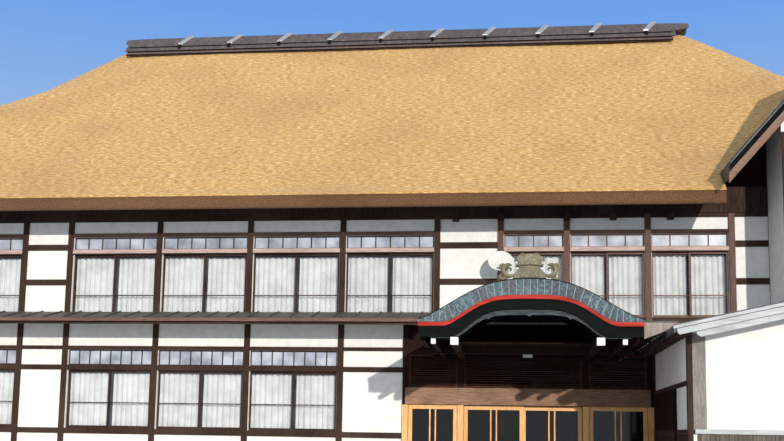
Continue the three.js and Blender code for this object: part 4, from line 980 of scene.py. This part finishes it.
def gable_plates():
    """Plates on the gable face: quads between the strip and the roof edge, each leaning outwards from one
    side to the other by 8 mm. Their joints lean with the wave: the upper end is moved by 0.45 times the
    wave's own slope times the plate's height. A raised pale fold covers each joint."""
    edges = np.arange(-PORCH_TAIL + 0.01, PORCH_TAIL - 0.01, 0.125)
    plates, folds = [], []
    for x0, x1 in zip(edges, edges + 0.125):
        lows = np.minimum(np.array([x0, x1]), PORCH_TAIL - 0.002)
        slope = (porch_line(lows + 0.01) - porch_line(lows - 0.01)) / 0.02
        high = porch_top(lows) - porch_line(lows)
        highs = np.clip(lows - 0.45 * slope * high, -PORCH_TAIL + 0.002, PORCH_TAIL - 0.002)
        low_z, high_z = porch_line(lows) + PORCH_STRIP + 0.002, porch_top(highs) - 0.016
        front = (-3.6985, -3.6905) if x0 < 0 else (-3.6905, -3.6985)
        for y_left, y_right in (front, (-3.686, -3.686)):
            plates += [(lows[0], y_left, low_z[0]), (lows[1], y_right, low_z[1]),
                       (highs[1], y_right, high_z[1]), (highs[0], y_left, high_z[0])]
        for y in (-3.704, -3.69):
            folds += [(lows[0], y, low_z[0]), (lows[0] + 0.007, y, low_z[0]),
                      (highs[0] + 0.007, y, high_z[0]), (highs[0], y, high_z[0])]
    for name, points, finish in (("porch_gable_plates", plates, roof_copper),
                                 ("porch_gable_folds", folds, pale_copper)):
        faces = CUBE_LOOP[None] + 8 * np.arange(len(points) // 8)[:, None, None]
        piece = put_mesh(name, points, faces.reshape(-1, 4), finish)
        face_outwards(piece.data)
    return len(edges)


def roof_plates():
    """Rows of thin plates over the curved top. Each leans by 7 mm, so that one edge stands above the next
    row's. Every row runs from front to back, and the joints of neighbouring rows are staggered by half."""
    wide, deep = 0.16, 0.36
    x = np.arange(-PORCH_TAIL + 0.002, PORCH_TAIL - wide + 0.002, wide)
    point0, _, out0 = wave_frame(x, porch_top)
    point1, _, out1 = wave_frame(np.minimum(x + wide - 0.004, PORCH_TAIL - 0.002), porch_top)
    points, faces, count = [], [], 0
    for row in range(len(x)):
        shift = (row % 2) * deep / 2
        starts = np.clip(np.arange(-3.69 - shift, -0.07, deep), -3.69, -0.07)
        for y0, y1 in zip(starts[:-1], starts[1:]):
            inner = point0[row] - 0.016 * out0[row], point1[row] - 0.016 * out1[row]
            outer = point0[row] - 0.008 * out0[row], point1[row] - 0.001 * out1[row]
            for (ax, az), (bx, bz) in (inner, outer):
                points += [(ax, y0, az), (bx, y0, bz), (bx, y1 - 0.003, bz), (ax, y1 - 0.003, az)]
            faces.append(CUBE_LOOP + 8 * count)
            count += 1
    piece = put_mesh("porch_roof_plates", points, np.concatenate(faces), roof_copper)
    face_outwards(piece.data)
    return count


print("copper plates:", gable_plates(), "on the gable,", roof_plates(), "on the roof")
porch_band("porch_edge_roll", PORCH_TAIL, lambda x: porch_top(x) - 0.013, porch_top, -3.7, -3.655, black_paint)
WING_LEFT, WING_RIGHT, WING_FRONT = 2.001, 2.6, -3.62
wing_roof = timbers("porch_wing_roof", [(WING_LEFT, WING_RIGHT, WING_FRONT, -0.06, 3.27, 3.30)], roof_steel,
                    bevel=0.003)
wing_outline = [(WING_LEFT, 2.975), (2.365, 3.115), (WING_RIGHT, 3.166), (WING_RIGHT, 3.269),
                (WING_LEFT, 3.269)]
wing_face = extrude_outline("porch_wing_fascia", wing_outline, WING_FRONT, -3.56, wing_steel, bevel=0.003)

# %% [markdown]
# ## The ridge-end ornament
# A moulded clay ornament ends the porch ridge: a capped block between scrolls, on a band of small waves.
# Each scroll is a spiral tube that thins towards both ends; the block is a stack of outlines.

# %% Ridge-end ornament
ORNAMENT_FRONT, ORNAMENT_BACK = -3.72, -3.58
ORNAMENT_BASE = float(porch_top(np.array([0.0]))[0])
TUBE_SIDES = 12


def tube_along(path, radii, depth_scale):
    """The points of a tube round a path in the X-Z plane. Each ring is an ellipse: its radius in the plane
    of the path, and depth_scale times the radius along Y."""
    path, radii = np.asarray(path, dtype=float), np.asarray(radii, dtype=float)
    forward = np.gradient(path, axis=0)
    forward /= np.linalg.norm(forward, axis=1)[:, None]
    normal = np.column_stack([-forward[:, 1], forward[:, 0]])
    turn = np.linspace(0, 2 * np.pi, TUBE_SIDES, endpoint=False)
    x = path[:, 0, None] + radii[:, None] * np.cos(turn) * normal[:, 0, None]
    z = path[:, 1, None] + radii[:, None] * np.cos(turn) * normal[:, 1, None]
    y = depth_scale * radii[:, None] * np.sin(turn)
    return np.stack([x, y, z], axis=2).reshape(-1, 3)


def spiral(centre, start_radius, end_radius, start_angle, turns, count=40):
    """Points whose distance from the centre shrinks evenly as they go round."""
    angle = np.radians(start_angle) + np.linspace(0, 2 * np.pi * turns, count)
    radius = np.linspace(start_radius, end_radius, count)
    return np.column_stack([centre[0] + radius * np.cos(angle), centre[1] + radius * np.sin(angle)])


def ornament_scrolls():
    """Each side has a fat crescent that hooks upwards round a small curl, a smaller crescent outside it,
    one curl over the brow, one at the cap and two lapping waves at the foot. A tube is thickest in the
    middle, by the square root of a sine."""
    middle_y = (ORNAMENT_FRONT + ORNAMENT_BACK) / 2
    points, faces, start = [], [], 0
    shapes = [((0.36, 0.165), 0.125, 0.085, -140, 0.72, 0.045), ((0.475, 0.215), 0.06, 0.03, -110, 0.9, 0.024),
              ((0.36, 0.165), 0.045, 0.02, -60, 0.9, 0.018), ((0.2, 0.33), 0.06, 0.03, -30, 0.8, 0.026),
              ((0.49, 0.05), 0.07, 0.03, -170, 0.7, 0.02), ((0.43, 0.04), 0.05, 0.02, -170, 0.7, 0.016),
              ((0.12, 0.41), 0.05, 0.02, 10, 0.7, 0.02)]
    for side in (-1, 1):
        for (cx, cz), r0, r1, angle, turns, thick in shapes:
            path = spiral((cx, cz), r0, r1, angle, turns)
            path[:, 0] *= side
            radii = 0.002 + thick * np.sqrt(np.sin(np.pi * np.linspace(0, 1, len(path))).clip(0))
            tube = tube_along(path + [0, ORNAMENT_BASE], radii, min(1.4, 0.066 / thick))
            tube[:, 1] += middle_y
            points.append(tube)
            faces.append(grid_faces(len(path), TUBE_SIDES, wrap=True) + start)
            start += len(tube)
    piece = put_mesh("porch_ornament_scrolls", np.concatenate(points), np.concatenate(faces), mould_tile,
                     smooth=True)
    close_ends(piece.data)


def ornament_block():
    """The middle of the ornament: a foot with an arched panel, a face, a curved brow and a lobed cap."""
    foot = [(-0.3, 0.0), (-0.27, 0.1), (-0.2, 0.17), (-0.16, 0.2), (0.16, 0.2), (0.2, 0.17), (0.27, 0.1),
            (0.3, 0.0)]
    hollow = [(-0.17, 0.01), (-0.15, 0.09), (-0.08, 0.15), (0.08, 0.15), (0.15, 0.09), (0.17, 0.01)]
    brow = [(-0.24, 0.215), (-0.25, 0.25), (-0.17, 0.29), (0, 0.305), (0.17, 0.29), (0.25, 0.25),
            (0.24, 0.215), (0.14, 0.235), (0, 0.245), (-0.14, 0.235)]
    face = [(-0.19, 0.19), (-0.2, 0.24), (0.2, 0.24), (0.19, 0.19)]
    cap = [(-0.19, 0.28), (-0.235, 0.34), (-0.225, 0.4), (-0.16, 0.43), (-0.1, 0.415), (-0.05, 0.45),
           (0.05, 0.45), (0.1, 0.415), (0.16, 0.43), (0.225, 0.4), (0.235, 0.34), (0.19, 0.28)]
    pieces = (("foot", foot, 0.02), ("arch", hollow, 0.0), ("face", face, 0.03), ("brow", brow, -0.012),
              ("cap", cap, 0.012))
    for name, outline, inset in pieces:
        places = [(x, z + ORNAMENT_BASE) for x, z in outline]
        body = extrude_outline(f"porch_ornament_{name}", places, ORNAMENT_FRONT + inset,
                               ORNAMENT_BACK - inset, mould_tile, bevel=0.012)
        if name == "foot":
            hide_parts("porch_ridge_ornament")


ornament_scrolls()
ornament_block()
print("ornament stands", round(ORNAMENT_BASE, 2), "to", round(ORNAMENT_BASE + 0.45, 2), "m")

# %% [markdown]
# White caps finish the ends of the porch beams, as in the photograph, where they are the brightest things
# under the dark gable. Here a thin cap covers each end. Small stubs of beams show under the eaves.

# %% Painted beam ends and small beam stubs
# Each beam end is its middle's X, width, depth and top; a cap is 4 mm thick.
beam_ends = ((-1.712, 0.075, 0.085, 2.95), (-1.335, 0.135, 0.13, 2.98), (1.243, 0.135, 0.13, 2.98),
             (1.662, 0.075, 0.085, 2.95))
CAP_THICK = 0.004
cap_spans = []
for place, wide, deep, top in beam_ends:
    half = wide / 2 + CAP_THICK
    cap_spans.append((place - half, place + half, -3.744, -3.66, top - deep - CAP_THICK, top + CAP_THICK))
beam_caps = timbers("porch_beam_end_caps", cap_spans, white_paint, bevel=0.004)
stub_places = (-1.53, -0.55, 0.87, 1.85, 3.05)
stubs = timbers("beam_end_stubs", [(x - 0.07, x + 0.07, -0.16, 0.02, 5.9, 6.045) for x in stub_places],
                dark_cedar, bevel=0.008)
print("caps:", len(cap_spans), "stubs:", len(stub_places))

# %% [markdown]
# ## Doors
# Each leaf is a varnished frame with three panes over a boarded panel. The CAD leaf is one solid, so a
# frame of separate stiles, rails and panes replaces it and rides on the same body.

# %% Glazed leaves
def leaf_parts(wide, z0, z1):
    """Stiles, rails, bars, kick boards and panes of one leaf, as x, share of depth and z limits."""
    stile, bar, narrow, kick = 0.09, 0.03, 0.09, z0 + 0.36
    side = (wide - 2 * stile - 2 * bar - narrow) / 2
    bars = [stile + side, stile + side + bar + narrow]
    wood = [(0, stile, 0, 1, z0, z1), (wide - stile, wide, 0, 1, z0, z1),
            (stile, wide - stile, 0, 1, z1 - stile, z1), (stile, wide - stile, 0, 1, z0, z0 + 0.11),
            (stile, wide - stile, 0, 1, kick - 0.06, kick)]
    wood += [(place, place + bar, 0.1, 0.9, kick, z1 - stile) for place in bars]
    boards = np.linspace(stile, wide - stile, 7)
    wood += [(a + 0.002, b - 0.002, 0.3, 0.7, z0 + 0.11, kick - 0.06)
             for a, b in zip(boards[:-1], boards[1:])]
    lights = [(stile, bars[0]), (bars[0] + bar, bars[1]), (bars[1] + bar, wide - stile)]
    glass = [(a - 0.006, b + 0.006, 0.42, 0.58, kick - 0.006, z1 - stile + 0.006) for a, b in lights]
    return wood, glass


def hang_leaf(name, node, body):
    """Scales the parts to the node's own box and puts wood and panes on its body."""
    low, high = (np.array(corner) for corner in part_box(node))
    wood, glass = leaf_parts(high[0] - low[0], low[2], high[2])
    deep = high[1] - low[1]

    def place(spans):
        return [(low[0] + a, low[0] + b, low[1] + c * deep, low[1] + d * deep, e, f)
                for a, b, c, d, e, f in spans]

    frame_piece = timbers(f"{name}_frame", place(wood), varnished_wood_painted_sunlit, body=body, bevel=0.003)
    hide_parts(node)
    panes = timbers(f"{name}_panes", place(glass), door_glass, body=body, bevel=0)


hang_leaf("left_leaf", "left_door", "left_door")
hang_leaf("right_leaf", "right_door", "right_door")
hang_leaf("left_side_leaf", "left_side_light", "house")
hang_leaf("right_side_leaf", "right_side_light", "house")
CASING_LIMITS = (-0.028, -0.0205, 0.2, 1.898)
casing = [(x, x + 0.128, *CASING_LIMITS) for x in (DOOR_LEFT - 0.129, DOOR_RIGHT + 0.001)]
casing += [(side * 2.586 - 0.063, side * 2.586 + 0.063, *CASING_LIMITS) for side in (-1, 1)]
cased = timbers("door_casings", casing, varnished_wood_painted_sunlit, bevel=0.003)
lintel_spans = [(-2.588, 2.588, -0.043, -0.0355, DOOR_TOP + 0.004, LINTEL_TOP - 0.004)]
lintel = timbers("lintel_face_board", lintel_spans, lintel_wood, bevel=0.004)
print("four glazed leaves hung")

# %% [markdown]
# Long thin slats fill the openings over the doors. In the photograph they run level, so a frame of level
# slats takes the place of the CAD's bars. The pane before the real ones is left out here.

# %% Slatted transoms
def slatted(node):
    """A frame with level slats every 45 mm."""
    low, high = (np.array(corner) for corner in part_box(node))
    edge = 0.045
    spans = [(low[0], low[0] + edge, low[1], high[1], low[2], high[2]),
             (high[0] - edge, high[0], low[1], high[1], low[2], high[2]),
             (low[0] + edge, high[0] - edge, low[1], high[1], low[2], low[2] + edge),
             (low[0] + edge, high[0] - edge, low[1], high[1], high[2] - edge, high[2])]
    for z in np.arange(low[2] + edge + 0.02, high[2] - edge - 0.02, 0.045):
        spans.append((low[0] + edge, high[0] - edge, low[1] + 0.014, high[1] - 0.006, z, z + 0.016))
    piece = timbers(f"{node}_slats", spans, slat_wood, bevel=0.001)
    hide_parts(node)


for name in ("left_transom", "middle_transom", "right_transom"):
    slatted(name)

# %% [markdown]
# ## Low side room
# Its gable shows three boards in worn white paint that step down and inwards. A nailed grey board covers
# the corner, and below a worn white rail the wall is clad in upright cedar boards.

# %% Low room boards
def low_line(x):
    """The low roof's upper edge: 3.11 m at the eaves, rising 0.218 m a metre to the middle."""
    return LOW_EAVE + LOW_RISE * (LOW_MIDDLE - LOW_LEFT + LOW_OUT - np.abs(np.asarray(x) - LOW_MIDDLE))


def low_barge(name, drop, deep, y0, y1, start, round_end=0.0):
    """Boards under the roof line on both slopes: a band drop below the line and deep high, from start out
    to the middle, whose lower end is rounded back by round_end."""
    for side, label in ((-1, "left"), (1, "right")):
        outer = LOW_MIDDLE + side * start
        turn = np.linspace(0, np.pi / 2, 9)
        low_end = [(outer + side * -round_end * (1 - np.cos(a)), low_line(outer) - drop - deep * np.sin(a))
                   for a in turn] if round_end else [(outer, low_line(outer) - drop),
                                                     (outer, low_line(outer) - drop - deep)]
        outline = low_end + [(LOW_MIDDLE, low_line(LOW_MIDDLE) - drop - deep),
                             (LOW_MIDDLE, low_line(LOW_MIDDLE) - drop)]
        board = extrude_outline(f"{name}_{label}", outline, y0, y1, washed_board, bevel=0.003)
    return board


low_barge("low_upper_board", 0.0, 0.055, -4.59, -4.553, 2.795)
wide_board = low_barge("low_wide_board", 0.065, 0.095, -4.585, -4.553, 2.74, 0.05)
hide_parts("low_bargeboard")
low_barge("low_inner_board", 0.17, 0.09, -4.54, -4.50, 2.42, 0.09)
print("low room gable boards placed")

# %% [markdown]
# The cladding is narrow boards set side by side with small gaps, so each wall is one list of spans. The
# nails are low domes, made as rings of points because they are too small to show more.

# %% Low room cladding, rail and corner board
SIDE_CLADDING, CORNER_TOP = (2.652, 2.6695), 3.02
siding_edges = np.arange(LOW_LEFT + 0.12, LOW_RIGHT - 0.1, 0.15)
siding_spans = [(a + 0.002, min(a + 0.148, LOW_RIGHT - 0.1), -4.118, LOW_FACE, 0.565, 1.325)
                for a in siding_edges]
siding = timbers("low_room_siding", siding_spans, brown_siding, bevel=0.002)
side_edges = np.arange(-3.96, -0.25, 0.15)
side_siding = timbers("low_room_side_siding", [(*SIDE_CLADDING, y + 0.002, y + 0.148, 0.565, 1.325)
                                               for y in side_edges], dark_cedar, bevel=0.002)
upper_edges = np.arange(-2.72, -0.25, 0.15)
side_boards = timbers("low_room_side_boards", [(*SIDE_CLADDING, y + 0.002, y + 0.148, 1.405, 2.145)
                                               for y in upper_edges], sooty_cedar, bevel=0.002)
side_post = timbers("low_room_side_post", [(2.63, 2.6695, -2.82, -2.74, 0.565, 2.15)], black_paint,
                    bevel=0.004)
rail = timbers("low_room_white_rail", [(2.75, 7.6, -4.16, -4.127, 1.325, 1.405)], washed_board, bevel=0.004)
corner = timbers("low_room_corner_board", [(2.729, 2.95, -4.122, LOW_FACE, 1.41, CORNER_TOP)], corner_grey,
                 bevel=0.003)


def nail_heads():
    """Two wavering rows of domed heads down the corner board, each a ring of eight points and a crown."""
    rows = np.linspace(1.5, 2.85, 8)
    places = np.concatenate([np.column_stack([np.full(8, x) + 0.008 * np.sin(rows * 9 + x), rows])
                             for x in (2.78, 2.9)])
    turn = np.linspace(0, 2 * np.pi, 8, endpoint=False)
    points, faces = [], []
    for number, (x, z) in enumerate(places):
        base = np.column_stack([x + 0.009 * np.cos(turn), np.full(8, -4.1215), z + 0.009 * np.sin(turn)])
        crown = np.column_stack([x + 0.005 * np.cos(turn), np.full(8, -4.1265), z + 0.005 * np.sin(turn)])
        points += [base, crown]
        faces.append(grid_faces(2, 8, wrap=True) + 16 * number)
    piece = put_mesh("corner_board_nails", np.concatenate(points), np.concatenate(faces), clip_steel,
                     smooth=True)
    close_ends(piece.data)
    return len(places)


print("nails:", nail_heads())

# %% [markdown]
# ## Sheet roofs
# The low roof, the lean-to and the tall bay are covered in painted steel with standing seams. A seam is
# a narrow upright fold, so each is a thin bar that follows its slope.

# %% Standing seams and eaves rafters
def seam_lean(line):
    """Lifts the points of level bars by the roof's height at their X."""
    def lift(points):
        points[:, 2] += line(points[:, 0])
        return points
    return lift


low_seams = []
for y in np.arange(-4.5, -1.3, 0.4):
    for x0, x1 in ((2.38, LOW_MIDDLE), (LOW_MIDDLE, 7.92)):
        low_seams.append((x0, x1, y - 0.012, y + 0.012, -0.003, 0.028))
for y in np.arange(-1.1, -0.1, 0.4):
    low_seams.append((2.38, 5.02, y - 0.012, y + 0.012, -0.003, 0.028))
seams = timbers("low_roof_seams", low_seams, roof_steel, bevel=0.003, lean=seam_lean(low_line))
low_rafters = [(2.4, 2.66, y - 0.03, y + 0.03, -0.2, -0.122) for y in np.arange(-4.4, -0.1, 0.36)]
rafters = timbers("low_roof_rafter_ends", low_rafters, dark_cedar, bevel=0.004, lean=seam_lean(low_line))


def lean_to_line(y):
    """The lean-to's upper face falls 0.24 m over its 0.96 m."""
    return 3.90 + 0.25 * np.asarray(y)


def lean_seam_lift(points):
    """Lays level bars on the lean-to's slope by their Y."""
    points[:, 2] += lean_to_line(points[:, 1])
    return points


lean_seams = [(x - 0.012, x + 0.012, -0.955, -0.005, -0.003, 0.026) for x in np.arange(-17.25, -2.06, 0.455)]
lean_bars = timbers("lean_to_seams", lean_seams, roof_steel, bevel=0.003, lean=lean_seam_lift)
fascia = timbers("lean_to_fascia", [(-17.29, -2.04, -0.985, -0.9605, -0.075, -0.002)], rail_cedar, bevel=0.004,
                 lean=lean_seam_lift)
print("seams:", len(low_seams), "on the low roof,", len(lean_seams), "on the lean-to")

# %% [markdown]
# The tall bay's roof is steeper, and its gable edge is a deep brown board with a thin strip above it. The
# straw comes down to it along a straight valley on each side, 3.29 m back at the middle and 1.38 m forward
# for each metre out. The hand-laid straw lies a few centimetres lower than the plain solid, which would
# leave a slit there, so a sheet 0.6 m wide lies in each valley and runs in under the straw.

# %% Tall bay roof seams and gable edge
def tall_line(x):
    """The tall roof's upper face: 6.68 m at the eaves, rising 1.15 m a metre to the middle."""
    return TALL_EAVE + TALL_RISE * (TALL_HALF - np.abs(np.asarray(x) - TALL_MIDDLE))


def both_halves(short, *limits):
    """One span on each slope of the tall roof, from its middle to short of its eaves, with the same limits."""
    reach = TALL_HALF - short
    return [(TALL_MIDDLE - reach, TALL_MIDDLE, *limits), (TALL_MIDDLE, TALL_MIDDLE + reach, *limits)]


tall_seams = [span for y in np.arange(-1.62, 0.2, 0.42)
              for span in both_halves(0.01, y - 0.014, y + 0.014, -0.004, 0.04)]
tall_bars = timbers("tall_roof_seams", tall_seams, roof_steel, bevel=0.003, lean=seam_lean(tall_line))

VALLEY_BACK, VALLEY_FORWARD, VALLEY_HALF = 3.29, 1.38, 0.3


def valley_place(points):
    """Carries a level strip to the valley: y is 3.29 less 1.38 times the way out, z the roof's face."""
    points[:, 1] += VALLEY_BACK - VALLEY_FORWARD * np.abs(points[:, 0] - TALL_MIDDLE)
    points[:, 2] += tall_line(points[:, 0])
    return points


valley_sheets = timbers("tall_roof_valley_sheets", both_halves(0.0, -VALLEY_HALF, VALLEY_HALF, 0.003, 0.012),
                        roof_steel, bevel=0.0, lean=valley_place)


def gable_strip(name, drop, deep, y0, y1, finish, reach=TALL_HALF + 0.02):
    """A band along both slopes of the tall gable, drop below the roof line and deep high."""
    x = np.array([TALL_MIDDLE - reach, TALL_MIDDLE, TALL_MIDDLE + reach])
    line = TALL_APEX - TALL_RISE * np.abs(x - TALL_MIDDLE) - drop
    outline = np.concatenate([np.column_stack([x, line - deep]), np.column_stack([x, line])[::-1]])
    strip = extrude_outline(name, outline, y0, y1, finish, bevel=0.004)


gable_strip("tall_gable_top_strip", -0.01, 0.05, -1.80, -1.7005, roof_steel)
gable_strip("tall_gable_shadow_board", 0.05, 0.13, -1.75, -1.7005, black_paint)
gable_strip("tall_gable_foot_strip", 0.345, 0.045, -1.785, -1.7605, barge_wood,
            reach=TALL_HALF - 0.1)
print("tall bay seams:", len(tall_seams))

# %% [markdown]
# ## Small fittings
# The dish is a thin shell of revolution with a rim, an arm and a small receiver. A curve turned about an
# axis needs only one formula, so the whole shell is one grid.

# %% Dish aerial
DISH_CENTRE = np.array([-0.55, -0.42, 4.93])
DISH_RADIUS, DISH_TILT = 0.26, np.pi / 2 - 0.5


def dish_shell():
    """A paraboloid: depth is 0.14 of the radius times the square of the share out from the middle. The
    front and back faces share the rim, and the whole is tilted about X."""
    turn = np.linspace(0, 2 * np.pi, 48, endpoint=False)
    shares = np.concatenate([np.linspace(0.001, 1, 12), [1.02], np.linspace(1, 0.001, 12)])
    offset = np.concatenate([np.full(12, 0.0), [0.02], np.full(12, 0.034)])
    radius = shares[:, None] * DISH_RADIUS
    height = (0.14 * shares ** 2 + offset)[:, None] * DISH_RADIUS
    x, y = radius * np.cos(turn), radius * np.sin(turn)
    z = np.broadcast_to(height, x.shape)
    tilted = np.stack([x, y * np.cos(DISH_TILT) - z * np.sin(DISH_TILT),
                       y * np.sin(DISH_TILT) + z * np.cos(DISH_TILT)], axis=2)
    points = tilted.reshape(-1, 3) + DISH_CENTRE
    piece = put_mesh("dish_shell", points, grid_faces(len(shares), 48, wrap=True), white_paint, smooth=True)
    close_ends(piece.data)
    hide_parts("dish_aerial")


dish_shell()
arm_spans = [(-0.568, -0.532, -0.44, -0.002, 4.885, 4.915), (-0.59, -0.51, -0.03, -0.002, 4.80, 5.0),
             (-0.562, -0.538, -0.63, -0.4, 4.77, 4.79), (-0.59, -0.51, -0.66, -0.6, 4.77, 4.83)]
arm = timbers("dish_arm", arm_spans, white_paint, bevel=0.004)

# %% [markdown]
# The lantern is a black painted frame round a pale shade. Its bars are worked out from the imported
# lantern's own box, so that it hangs in the same place.

# %% Lantern
low, high = (np.array(corner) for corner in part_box("porch_lantern"))
(x0, y0, z0), (x1, y1, z1) = low, high
z1 -= 0.035
bar = 0.016
frame_bars = [(x, x + bar, y, y + bar, z0, z1) for x in (x0, x1 - bar) for y in (y0, y1 - bar)]
for z in (z0, z1 - bar, (z0 + z1) / 2):
    frame_bars += [(x0, x1, y, y + bar, z, z + bar) for y in (y0, y1 - bar)]
    frame_bars += [(x, x + bar, y0, y1, z, z + bar) for x in (x0, x1 - bar)]
frame_bars += [(-0.02, 0.02, -1.62, -1.58, z1, 2.968), (x0, x1, y0, y1, z1 - 0.01, z1)]
lantern = timbers("lantern_frame", frame_bars, black_paint, bevel=0.002)
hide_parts("porch_lantern")
shade_span = (x0 + bar, x1 - bar, y0 + bar, y1 - bar, z0 + bar, z1 - bar)
shade = timbers("lantern_shade", [shade_span], lace_cloth, bevel=0.002)
print("dish and lantern made")

# %% [markdown]
# ## Finishes of the carried-over frame
# The plain CAD nodes keep their shapes and take these finishes. What the list leaves out is glass, timber
# or plaster, and the node's own name tells which.

# %% Finishes for the frame's own nodes
node_finish = {
    "house_foundation": cut_stone, "entrance_floor": cut_stone, "ground_floor": floor_boards,
    "upper_floor": floor_boards, "porch_ceiling": ceiling_boards, "eaves_beam": dark_cedar,
    "lean_to_rafters": dark_cedar, "lean_to_roof": ridge_steel, "entrance_frame": sooty_cedar,
    "entrance_header_wall": sooty_cedar, "porch_beams": sooty_cedar, "low_roof": roof_steel,
    "tall_roof": roof_steel, "tall_bargeboard": barge_wood,
}
for name, node in nodes.items():
    if node.hide_render:
        continue
    finish = node_finish.get(name)
    if finish is None:
        finish = float_glass if "glass" in name else dark_cedar if "timber" in name else lime_plaster
    for part in node.material_slots:
        part.material = finish
print("finishes set on", len(nodes), "nodes")

# %% [markdown]
# ## Floor and light
# A pale floor, a low sun from the right with a soft edge and a pale sky for fill. The sun's direction was
# judged from the light and shade in the photograph.

# %% Stage and light
def studio_floor():
    """A wide matt floor just under the stone."""
    material, tree, bsdf = new_material("studio_floor", 0.9)
    place = add_node(tree, "TexCoord").outputs["Object"]
    cloud = add_node(tree, "TexNoise", {"Vector": place, "Scale": 0.15, "Detail": 2}).outputs["Fac"]
    tone = add_node(tree, "ValToRGB", {"Fac": cloud}, stops=[(0.3, "#cfccc4"), (0.7, "#d6d3cc")])
    tree.links.new(tone.outputs["Color"], bsdf.inputs["Base Color"])
    half = 90.0
    points = [(-half, -half, -0.002), (half, -half, -0.002), (half, half, -0.002), (-half, half, -0.002)]
    mesh = bpy.data.meshes.new("studio_floor")
    mesh.from_pydata(points, [], [(0, 1, 2, 3)])
    mesh.materials.append(material)
    floor = bpy.data.objects.new("studio_floor", mesh)
    bpy.context.scene.collection.objects.link(floor)


def sun_light(travel, strength, hex_colour, soft_degrees):
    """A sun whose rays travel along the given direction."""
    data = bpy.data.lights.new("key_sun", "SUN")
    data.energy, data.angle = strength, np.radians(soft_degrees)
    data.color = linear(hex_colour)[:3]
    light = bpy.data.objects.new("key_sun", data)
    ahead = np.array(travel) / np.linalg.norm(travel)
    right = np.cross(ahead, (0, 0, 1))
    right /= np.linalg.norm(right)
    turn = np.eye(4)
    turn[:3, 0], turn[:3, 1], turn[:3, 2] = right, np.cross(right, ahead), -ahead
    light.matrix_world = Matrix(turn.tolist())
    bpy.context.scene.collection.objects.link(light)


def pale_sky():
    """World light by the direction's height: near white at the horizon, blue above. By the direction's
    Y the blue gives way to a neutral haze on the sun's side, which lights the walls under the eaves."""
    world = bpy.data.worlds.new("pale_sky")
    bpy.context.scene.world = world
    world.use_nodes = True
    tree = world.node_tree
    place = add_node(tree, "TexCoord").outputs["Object"]
    way = add_node(tree, "SeparateXYZ", {"Vector": place}).outputs
    tone = add_node(tree, "ValToRGB", {"Fac": way["Z"]},
                    stops=[(0.0, "#dfe4e8"), (0.18, "#b4cdea"), (0.4, "#6fa5ee")]).outputs["Color"]
    share = add_node(tree, "MapRange", {"Value": way["Y"], "From Min": 0.7,
                                        "From Max": -0.2}).outputs["Result"]
    tone = add_node(tree, "MixRGB", {"Fac": share, "Color1": tone,
                                     "Color2": linear("#dce6f0")}).outputs["Color"]
    background = tree.nodes["Background"]
    background.inputs["Strength"].default_value = 0.95
    tree.links.new(tone, background.inputs["Color"])


studio_floor()
sun_light(travel=(-0.38, 1.0, -0.23), strength=2.85, hex_colour="#fff7ec", soft_degrees=0.8)
pale_sky()
bpy.context.scene.view_settings.view_transform = "Standard"
